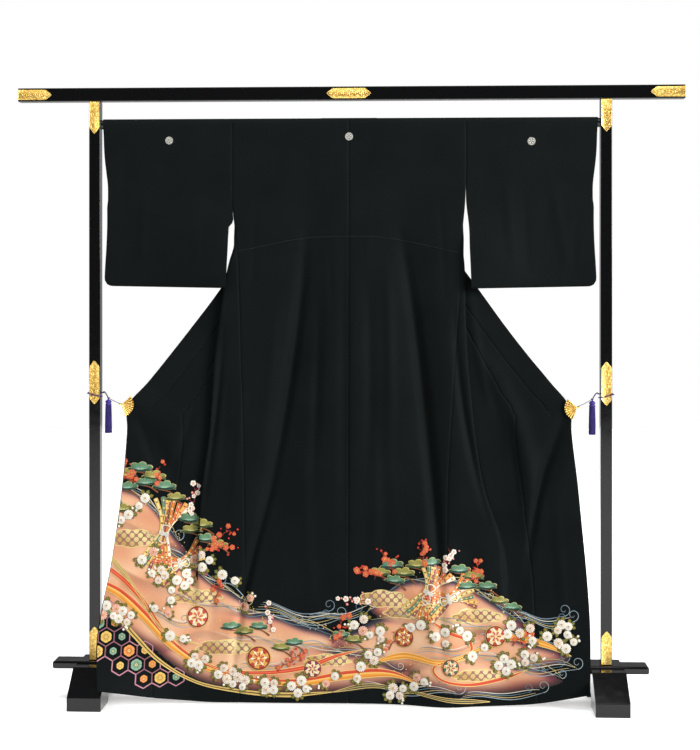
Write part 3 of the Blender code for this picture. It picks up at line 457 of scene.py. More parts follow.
ROUNDED_OVER = (("top_bar", 0.0022), ("base_board", 0.0060), ("post_left", 0.0020), ("post_right", 0.0020))
for node, round_over in ROUNDED_OVER:
    low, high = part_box(node)
    outline = [(low.x, low.y), (high.x, low.y), (high.x, high.y), (low.x, high.y)]
    timber = solid_piece(f"lacquered_{node}", prism(outline, low.z, high.z, 2), LACQUER, round_over)
    settle(timber, "lacquer", node)
for side, word in SIDES:
    low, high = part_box(f"foot_{word}")
    notch = BOARD_DEPTH / 2 + JOINT_GAP
    half = [(notch, 0.0827), (notch, high.z), (0.077, high.z), (high.y, 0.037), (high.y, 0.0), (0.050, 0.0)]
    half.append((0.050, 0.035))
    outline = half + [(-y, z) for y, z in half[::-1]]
    foot = solid_piece(f"lacquered_foot_{word}", prism(outline, low.x, high.x, 0), LACQUER, 0.0018)
    settle(foot, "lacquer", f"foot_{word}")
low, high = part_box("hanging_rail")
rail_line = np.array([(x, 0.0, RAIL_HEIGHT) for x in np.linspace(low.x, high.x, 60)])
rail = new_piece("lacquered_hanging_rail", *tube_parts(rail_line, np.full(60, RAIL_RADIUS), 48), [LACQUER])
rail.data.set_sharp_from_angle(angle=radians(40))
settle(rail, "lacquer", "hanging_rail")

# Nine gilt plates: thin brass, cut to a cusped point, with a raised rim, chased with scrolling tendrils over a
# ground of punched dots, fire-gilt, and held by small domed nails.
PLATE_WIDTH = 0.0275
PLATE_TIP = 0.018
PLATE_SHEET = 0.0012
RIM_IN = 0.0014
CUSP = ((0.0, 0.0), (0.06, 0.12), (0.12, 0.22), (0.25, 0.38), (0.38, 0.50))
CUSP += ((0.50, 0.58), (0.58, 0.66), (0.70, 0.86), (1.0, 1.0))
SCROLL_EVERY = 0.014
DOT_EVERY = 0.0017


def chased_gilt():
    """Gilt brass: warm, satin from the chasing, paler where rubbed and browner in the hollows."""
    made, put, shader, place = new_material("Chased gilt brass", {"Metallic": 1.0})
    patches = put("ShaderNodeTexNoise", {"Vector": place, "Scale": 260.0, "Detail": 3.0, "Roughness": 0.6})
    stops = ((0.30, "#B4802C"), (0.48, "#E2B95A"), (0.66, "#F6E29C"))
    put("ShaderNodeValToRGB", {"Fac": patches}, stops=stops, to=shader["Base Color"])
    put("ShaderNodeMapRange", {"Value": patches, "To Min": 0.42, "To Max": 0.26}, to=shader["Roughness"])
    chasing = put("ShaderNodeTexNoise", {"Vector": place, "Scale": 1500.0, "Detail": 2.0})
    put("ShaderNodeBump", {"Height": chasing, "Strength": 0.5, "Distance": 0.0003}, to=shader["Normal"])
    return made
GILT = chased_gilt()


def plate_outline(length, tips):
    """A plate drawn along its length, with a cusped point at its start, its end, or both."""
    half = PLATE_WIDTH / 2
    start, end = (CUSP if tip in tips else ((0.0, 1.0),) for tip in ("start", "end"))
    upper = [(-length / 2 + PLATE_TIP * along, half * share) for along, share in start]
    upper += [(length / 2 - PLATE_TIP * along, half * share) for along, share in reversed(end)]
    return np.array(upper + [(x, -y) for x, y in reversed(upper) if y > 0.0])


def dot_tree():
    """Small domed dots, one on each point."""
    tree, put, given = new_tree("Punched ground", Dot_radius=0.0005, Finish=None)
    dot = put("GeometryNodeMeshIcoSphere", {"Radius": given["Dot radius"], "Subdivisions": 1})
    dots = put("GeometryNodeInstanceOnPoints", {"Points": given["Geometry"], "Instance": dot})
    return end_tree(tree, dots, given["Finish"])


punched = dot_tree()


def inside(outline, x, y):
    """Whether a place, or each of many, lies inside an outline."""
    outline = np.asarray(outline)
    x, y = np.asarray(x), np.asarray(y)
    found = np.zeros(np.broadcast(x, y).shape, dtype=bool)
    for (ax, ay), (bx, by) in zip(outline, np.roll(outline, -1, axis=0)):
        if ay != by:
            found ^= ((ay > y) != (by > y)) & (x < ax + (y - ay) * (bx - ax) / (by - ay))
    return found


def dome(place, radius, height, sides=10):
    """A small round nail head that faces the viewer."""
    rim = circle(sides) * radius
    return capped([
        place + np.column_stack((rim[:, 0] * share, np.full(sides, -height * lift), rim[:, 1] * share))
        for lift, share in ((0.0, 1.0), (0.5, 0.86), (0.87, 0.5), (1.0, 0.15))
    ])


def gilt_plate(name, node, along, tips):
    """One plate on its timber: along is the axis that its length follows."""
    low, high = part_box(node)
    middle = (low + high) / 2
    length = (high - low)[along]

    def set_out(flat, height):
        """Flat places, as length and width, put on the timber's face at a height over the plate's back."""
        flat = np.asarray(flat, dtype=float).reshape(-1, 2)
        placed = np.empty((len(flat), 3))
        other = 2 - along
        placed[:, along] = flat[:, 0] + middle[along]
        placed[:, other] = (flat[:, 1] if along == 0 else -flat[:, 1]) + middle[other]
        placed[:, 1] = high.y - height
        return placed

    outline = plate_outline(length, tips)
    inset = outline * (1 - 2 * RIM_IN / length, 1 - 2 * RIM_IN / PLATE_WIDTH)
    levels = ((outline, 0.0), (outline, 0.85), (outline * 0.5 + inset * 0.5, 1.0), (inset, 0.62))
    parts = [capped([set_out(ring, PLATE_SHEET * share) for ring, share in levels])]
    scrolls = max(3, round((length - 2 * PLATE_TIP) / SCROLL_EVERY))
    reach = (length - PLATE_TIP * 1.2) / scrolls
    t = np.linspace(0.0, 1.0, 40)
    for k in range(scrolls):
        centre = -length / 2 + PLATE_TIP * 0.6 + reach * (k + 0.5)
        radius = PLATE_WIDTH * 0.30 * (1 - 0.82 * t)
        angle = pi * (0.5 + 2.6 * t) * (-1 if k % 2 else 1)
        curl = np.column_stack((centre + radius * np.cos(angle), radius * np.sin(angle) * 1.1))
        parts.append(tube_parts(set_out(curl, PLATE_SHEET * 0.70), 0.00075 - 0.00045 * t, 6))
        for turn in (0.4, 1.5, 2.7):
            root = np.array((centre + cos(pi * turn) * PLATE_WIDTH * 0.30, sin(pi * turn) * PLATE_WIDTH * 0.33))
            tip = root * (1, 0.6) + np.array((0.0030 * cos(3.1 * turn + k), 0.0035 * sin(2.3 * turn + k)))
            leaf = set_out([root * (1 - s) + tip * s for s in np.linspace(0.0, 1.0, 7)], PLATE_SHEET * 0.66)
            parts.append(tube_parts(leaf, 0.0008 * np.sin(np.linspace(0.5, 3.0, 7)) + 0.0002, 6))
    plate = outward(new_piece(name, *joined_parts(parts), [GILT]))
    plate.data.set_sharp_from_angle(angle=radians(35))
    settle(plate, "gilt", node)
    spots = (np.arange(-wide / 2, wide / 2, DOT_EVERY) for wide in (length, PLATE_WIDTH))
    grid = np.stack(np.meshgrid(*spots, indexing="ij"), -1).reshape(-1, 2)
    grid = grid[inside(inset * 0.94, grid[:, 0], grid[:, 1])]
    ground = new_piece(f"{name}_punched_ground", set_out(grid, PLATE_SHEET * 0.55), [], [GILT])
    settle(run_tree(ground, punched, {"Dot radius": 0.00042, "Finish": GILT}), "gilt")
    nails = []
    for end, tip in ((-1, "start"), (1, "end")):
        in_by, sides = (0.0075, (0.0,)) if tip in tips else (0.0040, (-0.009, 0.009))
        for y in sides:
            nails.append(dome(set_out((end * (length / 2 - in_by), y), PLATE_SHEET * 0.7)[0], 0.0014, 0.0009))
    settle(new_piece(f"{name}_nails", *joined_parts(nails), [GILT]), "gilt")


for end, tips in (("left", "end"), ("middle", "start end"), ("right", "start")):
    gilt_plate(f"gilt_plate_bar_{end}", f"plate_bar_{end}", 0, tips)
for _, word in SIDES:
    for end, tips in (("top", "start"), ("middle", "start end"), ("bottom", "end")):
        gilt_plate(f"gilt_plate_{word}_{end}", f"plate_{word}_{end}", 2, tips)

# The kimono is black silk crepe lined in white. It hangs by its own weight over the round rail, and its fronts
# are drawn out to the sides, each with a deep pleat beside the side seam. These are its cut and its hang, read
# from the shoulder line down, and every piece of cloth below is laid through them.
LENGTH = 1.580
NECK_HALF = 0.090
BACK_WIDTH = 0.3175
FRONT_WIDTH = 0.245
OVERLAP_WIDTH = 0.150
OVERLAP_POINT = 0.400
COLLAR_WIDTH = 0.055
COLLAR_END = 0.805
NECK_TURN = 0.014
SLEEVE_SEAM = 0.230
SIDE_SEAM_TOP = 0.360
SLEEVE_DROP = 0.458
SLEEVE_CORNER = 0.022
CUFF_OPENING = 0.230
OVER_RAIL = 0.0148
QUARTER = OVER_RAIL * pi / 2
LAPEL_TURNED = 0.160
LAPEL_GAP = 0.0012
TURN = 0.0045
LEAN = 1.7


def rows(columns, *table):
    """A table as one array for each named column."""
    return dict(zip(columns.split(), np.array(table, dtype=float).T))


# Across each side: the side seam, the outer edge of the pleat, the free edge, how far that stands out in
# front, and the share of the slack that lies in the pleat
LEFT = rows(
    "fall side fold edge out pleated",
    (0.000, 0.3175, 0.3215, 0.090, 0.000, 1.0), (0.160, 0.3175, 0.3215, 0.137, 0.000, 1.0),
    (0.240, 0.3170, 0.3205, 0.196, 0.000, 1.0), (0.360, 0.3040, 0.3140, 0.280, 0.000, 1.0),
    (0.400, 0.3010, 0.3260, 0.305, 0.000, 1.0), (0.470, 0.2985, 0.3400, 0.350, 0.000, 1.0),
    (0.570, 0.2950, 0.3530, 0.424, 0.004, 1.0), (0.660, 0.2930, 0.3645, 0.491, 0.010, 1.0),
    (0.740, 0.2890, 0.3700, 0.550, 0.020, 1.0), (0.805, 0.2870, 0.3735, 0.600, 0.032, 1.0),
    (0.870, 0.2855, 0.3790, 0.602, 0.034, 1.0), (1.000, 0.2830, 0.3960, 0.611, 0.041, 0.9),
    (1.160, 0.2810, 0.4040, 0.629, 0.053, 0.5), (1.270, 0.2800, 0.4000, 0.645, 0.061, 0.1),
    (1.370, 0.2790, 0.4000, 0.664, 0.070, 0.0), (1.470, 0.2820, 0.4000, 0.673, 0.096, 0.0),
    (1.580, 0.2930, 0.4000, 0.660, 0.147, 0.0),
)
RIGHT = rows(
    "fall side fold edge out pleated",
    (0.000, 0.3175, 0.3215, 0.090, 0.000, 1.0), (0.160, 0.3175, 0.3215, 0.137, 0.000, 1.0),
    (0.240, 0.3150, 0.3190, 0.196, 0.000, 1.0), (0.360, 0.3035, 0.3095, 0.275, 0.000, 1.0),
    (0.420, 0.3035, 0.3140, 0.313, 0.000, 1.0), (0.470, 0.3010, 0.3150, 0.350, 0.000, 1.0),
    (0.570, 0.2950, 0.3170, 0.422, 0.004, 1.0), (0.650, 0.2890, 0.3210, 0.482, 0.010, 1.0),
    (0.730, 0.2835, 0.3280, 0.544, 0.020, 1.0), (0.805, 0.2790, 0.3350, 0.597, 0.031, 1.0),
    (0.860, 0.2750, 0.3410, 0.599, 0.034, 1.0), (1.000, 0.2680, 0.3640, 0.614, 0.041, 0.9),
    (1.130, 0.2660, 0.4040, 0.626, 0.050, 0.5), (1.270, 0.2650, 0.4100, 0.638, 0.060, 0.1),
    (1.400, 0.2660, 0.4100, 0.645, 0.072, 0.0), (1.580, 0.2810, 0.4100, 0.643, 0.095, 0.0),
)
# Flat width of the front, from the side seam to the collar's seam
FRONT_CUT = rows(
    "fall width",
    (0.000, 0.2275), (0.150, 0.2330), (0.400, 0.2450), (0.600, 0.2900), (0.805, 0.3350),
)
# Along the hem, from left to right: how far it stands out in front, and how far it is lifted off the floor
HEM = rows(
    "x out lift",
    (-0.680, 0.090, 0.0560), (-0.600, 0.085, 0.0430), (-0.500, 0.078, 0.0220), (-0.400, 0.070, 0.0090),
    (-0.270, 0.066, 0.0065), (-0.140, 0.064, 0.0060), (0.000, 0.061, 0.0060), (0.140, 0.068, 0.0060),
    (0.270, 0.094, 0.0060), (0.340, 0.080, 0.0060), (0.420, 0.070, 0.0070), (0.500, 0.080, 0.0150),
    (0.600, 0.090, 0.0340), (0.650, 0.095, 0.0450),
)
# Large soft folds and then the smaller creases: where each starts, passes its middle and ends, how wide it is,
# and how far it sinks in (a ridge stands out, so its depth is less than nothing)
CREASES = rows(
    "top_z top_x middle_x low_z low_x width depth",
    (1.440, -0.097, -0.152, 0.220, -0.281, 0.050, 0.0140), (1.450, 0.128, 0.206, 0.240, 0.264, 0.050, 0.0140),
    (1.300, 0.010, 0.006, 0.150, 0.000, 0.075, -0.0080), (0.970, 0.352, 0.470, 0.420, 0.497, 0.030, -0.0130),
    (0.800, -0.590, -0.520, 0.560, -0.470, 0.030, 0.0080), (0.800, 0.590, 0.540, 0.480, 0.490, 0.030, 0.0090),
    (0.560, -0.420, -0.470, 0.060, -0.500, 0.060, -0.0100),
    (0.520, 0.300, 0.330, 0.060, 0.350, 0.040, 0.0080), (0.820, -0.415, -0.450, 0.590, -0.492, 0.012, 0.0042),
    (0.785, -0.580, -0.548, 0.600, -0.512, 0.010, 0.0034),
    (1.160, 0.322, 0.350, 0.740, 0.392, 0.011, -0.0038), (0.790, 0.588, 0.532, 0.470, 0.497, 0.011, 0.0090),
    (0.370, 0.262, 0.306, 0.215, 0.350, 0.013, 0.0034), (0.345, 0.490, 0.448, 0.205, 0.405, 0.013, 0.0032),
    (1.290, -0.055, -0.050, 1.000, -0.041, 0.006, 0.0012),
    (1.120, -0.190, -0.212, 0.640, -0.236, 0.014, -0.0022),
    (0.980, 0.100, 0.110, 0.400, 0.140, 0.016, -0.0020),
    (0.700, -0.120, -0.110, 0.180, -0.080, 0.018, -0.0024),
    (1.000, -0.320, -0.335, 0.560, -0.342, 0.012, 0.0018), (0.640, 0.170, 0.190, 0.120, 0.205, 0.015, 0.0020),
    (0.480, -0.350, -0.368, 0.110, -0.372, 0.014, 0.0024),
    (0.620, 0.555, 0.566, 0.180, 0.585, 0.014, -0.0022),
    (0.420, -0.610, -0.618, 0.120, -0.628, 0.012, 0.0016),
    (1.370, 0.060, 0.052, 1.060, 0.055, 0.009, -0.0010), (1.400, 0.245, 0.255, 1.050, 0.262, 0.010, 0.0014),
    (1.390, -0.250, -0.258, 1.080, -0.262, 0.010, 0.0013),
    (1.300, -0.114, -0.161, 0.430, -0.247, 0.015, 0.0145),
    (0.620, -0.196, -0.272, 0.050, -0.318, 0.011, 0.0120), (1.300, 0.136, 0.219, 0.080, 0.254, 0.015, 0.0170),
    (1.020, -0.340, -0.362, 0.500, -0.399, 0.009, 0.0080), (0.700, 0.535, 0.503, 0.340, 0.478, 0.010, 0.0075),
    (1.080, 0.288, 0.312, 0.480, 0.382, 0.010, 0.0095), (1.350, -0.012, -0.011, 0.300, -0.010, 0.016, 0.0055),
    (1.180, 0.052, 0.058, 0.620, 0.054, 0.014, 0.0050), (1.130, -0.078, -0.086, 0.560, -0.098, 0.014, 0.0060),
    (1.200, 0.105, 0.112, 0.700, 0.118, 0.014, -0.0045),
    (0.900, -0.285, -0.300, 0.480, -0.318, 0.011, -0.0022),
    (0.760, 0.070, 0.074, 0.300, 0.066, 0.015, -0.0030), (0.840, 0.420, 0.446, 0.500, 0.456, 0.012, 0.0022),
)
# Creases on the sleeves, in the same way but measured out from the middle, the left sleeve's first
SLEEVE_CREASES = {
    -1: rows(
        "top_z top_x middle_x low_z low_x width depth",
        (1.420, 0.556, 0.562, 1.150, 0.566, 0.011, -0.0022),
        (1.360, 0.420, 0.414, 1.140, 0.405, 0.014, -0.0016),
        (1.500, 0.610, 0.616, 1.300, 0.612, 0.010, 0.0012),
    ),
    1: rows(
        "top_z top_x middle_x low_z low_x width depth",
        (1.440, 0.424, 0.436, 1.150, 0.448, 0.012, -0.0026),
        (1.420, 0.470, 0.478, 1.140, 0.486, 0.010, 0.0018),
        (1.430, 0.545, 0.570, 1.150, 0.592, 0.013, -0.0024),
        (1.350, 0.620, 0.612, 1.160, 0.606, 0.009, 0.0014),
    ),
}
# The sleeve from its shoulder fold down: its two side edges, half the space inside it, and how far its inner
# edge is pushed out by the front that passes behind it
SLEEVE = rows(
    "fall inner outer half_space push",
    (0.000, 0.3175, 0.6735, 0.0148, 0.000), (0.045, 0.3175, 0.6705, 0.0146, 0.000),
    (0.100, 0.3175, 0.6685, 0.0130, 0.000), (0.125, 0.3175, 0.6665, 0.0124, 0.000),
    (0.156, 0.3175, 0.6628, 0.0118, 0.000), (0.189, 0.3175, 0.6590, 0.0112, 0.000),
    (0.230, 0.3178, 0.6586, 0.0105, 0.002), (0.300, 0.3252, 0.6585, 0.0095, 0.014),
    (0.360, 0.3268, 0.6612, 0.0085, 0.028), (0.400, 0.3288, 0.6642, 0.0075, 0.032),
    (0.458, 0.3312, 0.6682, 0.0050, 0.034),
)


def eased(value, low, high):
    """0 below low, 1 above high, and a soft rise between."""
    share = np.clip((value - low) / (high - low), 0.0, 1.0)
    return share * share * (3 - 2 * share)


def curve_through(table, column, place, along="fall"):
    """A smooth curve through one column of a table, read at a place or at many."""
    x, y = table[along], table[column]
    slopes = np.gradient(y, x)
    i = np.clip(np.searchsorted(x, place) - 1, 0, len(x) - 2)
    step = x[i + 1] - x[i]
    u = np.clip((place - x[i]) / step, 0.0, 1.0)
    return (
        (1 + 2 * u) * (1 - u) ** 2 * y[i]
        + u * (1 - u) ** 2 * step * slopes[i]
        + u * u * (3 - 2 * u) * y[i + 1]
        + u * u * (u - 1) * step * slopes[i + 1]
    )


def crease_depth(table, x, z):
    """How far the folds and creases of a table push the cloth back at each place."""
    depth = 0.0 * (x + z)
    for top_z, top_x, middle_x, low_z, low_x, width, sink in zip(*table.values()):
        run = np.clip((top_z - z) / (top_z - low_z), 0.0, 1.0)
        middle = (1 - run) * (1 - 2 * run) * top_x + 4 * run * (1 - run) * middle_x
        middle = middle + run * (2 * run - 1) * low_x
        depth = depth + sink * np.sin(pi * run) * np.exp(-(((x - middle) / width) ** 2))
    return depth


def lean(x, down):
    """How far the back panel stands out in front of the rail's middle, at a share of the way down."""
    return OVER_RAIL + (curve_through(HEM, "out", x, "x") - OVER_RAIL) * down**LEAN


def hang(x, fall, behind):
    """The places of cloth at x, this far below the shoulder line, at some distance behind the back panel."""
    x, behind = np.broadcast_arrays(np.asarray(x, dtype=float), behind)
    if fall < QUARTER:
        over = np.where(behind > OVER_RAIL, 1.0, -1.0)
        out = np.where(behind > OVER_RAIL, behind - 2 * OVER_RAIL, behind)
        angle = fall / OVER_RAIL
        up = 0.0 * x + RAIL_HEIGHT + OVER_RAIL * cos(angle)
        return np.stack((x, over * OVER_RAIL * sin(angle) + out, up), -1)
    down = (fall - QUARTER) / (LENGTH - QUARTER)
    z = RAIL_HEIGHT - (RAIL_HEIGHT - curve_through(HEM, "lift", x, "x")) * down
    return np.stack((x, behind - lean(x, down) + crease_depth(CREASES, x, z), z), -1)


class Section:
    """One level of a front: from the side seam out to a pleat, in behind the back, and out to the free edge."""

    def __init__(self, side, fall):
        table = LEFT if side < 0 else RIGHT
        self.side, self.fall = side, fall
        self.seam_x, self.fold_x, self.edge_x, self.edge_out = (
            curve_through(table, column, fall) for column in ("side", "fold", "edge", "out")
        )
        step = 0.02
        ahead = curve_through(table, "edge", min(fall + step, COLLAR_END))
        behind = curve_through(table, "edge", max(min(fall, COLLAR_END - step) - step, 0.0))
        slope = (ahead - behind) / (2 * step)
        self.panel = curve_through(FRONT_CUT, "width", fall)
        self.collar = COLLAR_WIDTH * sqrt(1 + slope * slope)
        whole = self.panel + self.collar if fall <= COLLAR_END else FRONT_WIDTH + OVERLAP_WIDTH
        start = pi * (1 - eased(fall, SLEEVE_SEAM, SIDE_SEAM_TOP))
        lapel = pi / 2 + pi / 2 * eased(fall, 0.03, LAPEL_TURNED)
        first = max(self.fold_x - self.seam_x - TURN, 0.003)
        slack = (whole - (self.edge_x - self.seam_x)) * curve_through(table, "pleated", fall)
        turn = TURN * pi
        self.flat = fall < LAPEL_TURNED
        if self.flat:
            self.segments = [(self.panel, pi, pi), (TURN * lapel, pi, pi - lapel)]
            end = pi - lapel
        elif slack > 2 * turn:
            begin = turn * (1 - start / pi)
            back = (slack - 2 * turn) / 2
            if start > 0.0:
                reach = first * cos(start) - TURN * sin(start)
                back = (whole - first - begin - turn - (self.edge_x - self.seam_x) + reach) / 2
            bend = (max(begin, 0.001), start, pi)
            self.segments = [(first, start, start), bend, (back, pi, pi), (turn, pi, 0.0)]
            end = 0.0
        else:
            peak = self.unfolding(max(slack, 0.0) / (2 * turn))
            self.segments = [(first, 0.0, 0.0), (turn, 0.0, peak), (0.003, peak, peak), (turn, peak, 0.0)]
            end = 0.0
        used = sum(length for length, _, _ in self.segments)
        self.whole = max(whole, used + 0.002)
        if not self.flat:
            self.whole = used + (self.edge_x - self.seam_x) - float(self.at(used)[0])
        self.segments.append((self.whole - used + 0.2, end, end))
        self.folded = used
        self.stretch = 1.0 if self.flat else self.whole / whole
        layers = OVER_RAIL + (TURN - OVER_RAIL) * eased(fall, QUARTER, SIDE_SEAM_TOP)
        self.behind = 2 * layers - TURN * (1 + cos(start))

    def unfolding(self, share):
        """The steepest angle of a pleat that opens out."""
        low, high = 0.0001, pi
        for _ in range(30):
            angle = (low + high) / 2
            if 1 - sin(angle) / angle < share:
                low = angle
            else:
                high = angle
        return low

    def at(self, along):
        """Distances out from the side seam, and behind it, at lengths along the cloth."""
        left = np.asarray(along, dtype=float)
        x, y = 0.0 * left, 0.0 * left
        for length, start, end in self.segments:
            run = np.minimum(left, length)
            if abs(end - start) < 1e-6:
                x = x + run * cos(start)
                y = y + run * sin(start)
            else:
                radius = length / (end - start)
                turned = start + (end - start) * run / length
                x = x + radius * (np.sin(turned) - sin(start))
                y = y + radius * (cos(start) - np.cos(turned))
            left = left - run
        return x, y

    def set_back(self, along):
        """How far the cloth lies behind the back panel, and its distance out, at lengths along it."""
        out, back = self.at(along)
        clear = self.fold_x + 0.01
        behind = self.behind + back
        if self.edge_x - clear > 0.03:
            edge = hang(self.side * self.edge_x, self.fall, self.behind + self.at(self.whole)[1])[1]
            drawn = (edge + self.edge_out) * eased(self.seam_x + out, clear, self.edge_x)
            behind = behind - np.where(np.asarray(along) > self.folded, drawn, 0.0)
        return behind, self.seam_x + out

    def place(self, along):
        """The places in the world of cloth at lengths along it from the side seam."""
        behind, out = self.set_back(along)
        return hang(self.side * out, self.fall, behind)


def black_crepe():
    """Black silk crepe: matte, dyed a blue-green black, with a fine uneven pebble. Its real grain of 0.4 mm is
    too fine to show, so it is drawn about 1.5 mm wide."""
    even = {"Roughness": 0.68, "Specular IOR Level": 0.04, "Sheen Weight": 0.012, "Sheen Roughness": 0.45}
    made, put, shader, place = new_material("Black silk crepe", even)
    stretched = put("ShaderNodeMapping", {"Vector": place, "Scale": (1.0, 1.0, 0.55)})
    pebble = put("ShaderNodeTexNoise", {"Vector": stretched, "Scale": 720.0, "Detail": 3.0, "Roughness": 0.6})
    cloudy = put("ShaderNodeTexNoise", {"Vector": place, "Scale": 9.0, "Detail": 2.0})
    shade = put("ShaderNodeMix", {"Factor": 0.35, "A": pebble, "B": cloudy}, data_type="FLOAT")
    stops = ((0.30, "#090C0C"), (0.70, "#101515"))
    put("ShaderNodeValToRGB", {"Fac": shade.outputs["Result"]}, stops=stops, to=shader["Base Color"])
    put("ShaderNodeBump", {"Height": pebble, "Strength": 0.35, "Distance": 0.0006}, to=shader["Normal"])
    return made


def white_lining():
    """White silk lining: plain weave, a little warm, with a soft sheen and a few stray slubs."""
    made, put, shader, place = new_material("White silk lining", {"Roughness": 0.48, "Sheen Weight": 0.2})
    drawn_out = put("ShaderNodeMapping", {"Vector": place, "Scale": (0.12, 1.0, 1.0)})
    slubs = put("ShaderNodeTexNoise", {"Vector": drawn_out, "Scale": 900.0, "Detail": 2.0})
    stops = ((0.30, "#E3DED2"), (0.65, "#F4F1E8"))
    put("ShaderNodeValToRGB", {"Fac": slubs}, stops=stops, to=shader["Base Color"])
    put("ShaderNodeBump", {"Height": slubs, "Strength": 0.2, "Distance": 0.0003}, to=shader["Normal"])
    return made
CREPE = black_crepe()
LINING = white_lining()
WALL = 0.0012
COLLAR_WALL = 0.0026
SEAM_DIP = 0.0016
DIP_WIDTH = 0.0022
MERGE_WITHIN = 0.00003


def shares(count, near=(0.0, 0.004, 0.010, 0.020)):
    """Shares of a width, even but for a few close to both ends, where the seams are."""
    even = np.linspace(near[-1], 1 - near[-1], count)
    return np.concatenate((near[:-1], even, 1 - np.array(near[-2::-1])))


def dipped(places, widths, low_seam, high_seam):
    """A row of cloth that dips back softly at its seams. Widths are lengths along it."""
    dip = 0.0
    for sewn, seam in ((low_seam, widths[0]), (high_seam, widths[-1])):
        if sewn:
            dip = dip + np.exp(-(((widths - seam) / DIP_WIDTH) ** 2))
    return places + np.outer(SEAM_DIP * dip * np.ones(len(places)), (0.0, 1.0, 0.0))


def grid_faces(number, kept):
    """Faces of a grid of numbered places, wherever all four of a face's places are kept."""
    corners = (np.s_[:-1, :-1], np.s_[:-1, 1:], np.s_[1:, 1:], np.s_[1:, :-1])
    return np.stack([number[at] for at in corners], -1)[np.all([kept[at] for at in corners], axis=0)]


def merged(piece):
    """The piece with places that coincide made one."""
    with reshaping(piece) as shape:
        bmesh.ops.remove_doubles(shape, verts=shape.verts, dist=MERGE_WITHIN)
    return piece


def lined(shell, wall, node):
    """A shell of cloth with its wall, black outside and white inside, standing for its solid."""
    cloth_wall = merged(shell).modifiers.new("Cloth and lining", "SOLIDIFY")
    cloth_wall.thickness = wall
    cloth_wall.offset = 0.0
    cloth_wall.material_offset = 1
    plain(shell)
    shell.data.shade_smooth()
    shell.data.set_sharp_from_angle(angle=radians(60))
    return settle(shell, "crepe", node)


def cloth(name, grid, wall, outward_first, node):
    """A lined shell through a grid of places. A missing place is not a number."""
    there = ~np.isnan(grid[..., 0])
    faces = grid_faces(np.cumsum(there.ravel()).reshape(there.shape) - 1, there)
    faces = (faces if outward_first else faces[:, ::-1]).tolist()
    return lined(new_piece(name, grid[there], faces, [CREPE, LINING]), wall, node)


# Each body length is one width of silk, up the back, over the shoulder and down the front to its own hem. The
# two meet in the centre back seam, and the seams are pressed so that their edges turn in.
BACK_SHARES = shares(72)
NECK_PLACES = np.concatenate(((0.0, 0.001, 0.0025, 0.005), np.linspace(0.010, NECK_HALF, 14)[:-1]))
FALLS = np.concatenate((np.linspace(0.0, QUARTER, 7)[:-1], np.arange(QUARTER, 0.4, 0.010)))
FALLS = np.concatenate((FALLS, np.arange(0.4, LENGTH - 0.006, 0.0125), (LENGTH - 0.003, LENGTH)))
FALLS = np.unique(np.concatenate((FALLS, (LAPEL_TURNED, OVERLAP_POINT, COLLAR_END))).round(6))
sections = {(side, fall): Section(side, fall) for side in (-1, 1) for fall in FALLS}
missing_neck = np.full((len(NECK_PLACES), 3), np.nan)
for side, word in SIDES:
    grid = []
    for fall in FALLS[::-1]:
        from_neck = NECK_HALF + (BACK_WIDTH - NECK_HALF) * (1 - BACK_SHARES[::-1])
        out = np.concatenate((NECK_PLACES, from_neck)) * (sections[side, fall].seam_x / BACK_WIDTH)
        grid.append(dipped(hang(side * out, fall, 0.0 * out), out, True, fall > QUARTER))
    for fall in FALLS[1:]:
        section = sections[side, fall]
        width = (section.panel if fall <= OVERLAP_POINT else FRONT_WIDTH) * section.stretch
        along = BACK_SHARES * width
        sewn = fall > SIDE_SEAM_TOP
        front = dipped(section.place(along), along, sewn, fall > OVERLAP_POINT)
        grid.append(np.vstack((missing_neck, front[::-1])))
    panel = cloth(f"body_length_{word}", np.array(grid), WALL, side > 0, f"body_{word}")

# The overlap panels are half widths, sewn to the front edges. Each comes to a point under the collar, whose
# end is let into it where the clip holds.
OVERLAP_SHARES = shares(34)
EDGE_SHARES = np.linspace(0.0, 1.0, 12)[1:]
for side, word in SIDES:
    grid = []
    for fall in FALLS[FALLS >= OVERLAP_POINT + 0.006]:
        section = sections[side, fall]
        start = FRONT_WIDTH * section.stretch
        ends = section.panel if fall <= COLLAR_END else FRONT_WIDTH + OVERLAP_WIDTH - COLLAR_WIDTH
        ends *= section.stretch
        along = start + (ends - start) * OVERLAP_SHARES
        row = dipped(section.place(along), along, True, fall <= COLLAR_END)
        edge = np.full((len(EDGE_SHARES), 3), np.nan)
        if fall >= COLLAR_END:
            edge = section.place(ends + (section.whole - ends) * EDGE_SHARES)
        grid.append(np.vstack((row, edge)))
    panel = cloth(f"overlap_panel_{word}", np.array(grid), WALL, side < 0, f"overlap_{word}")

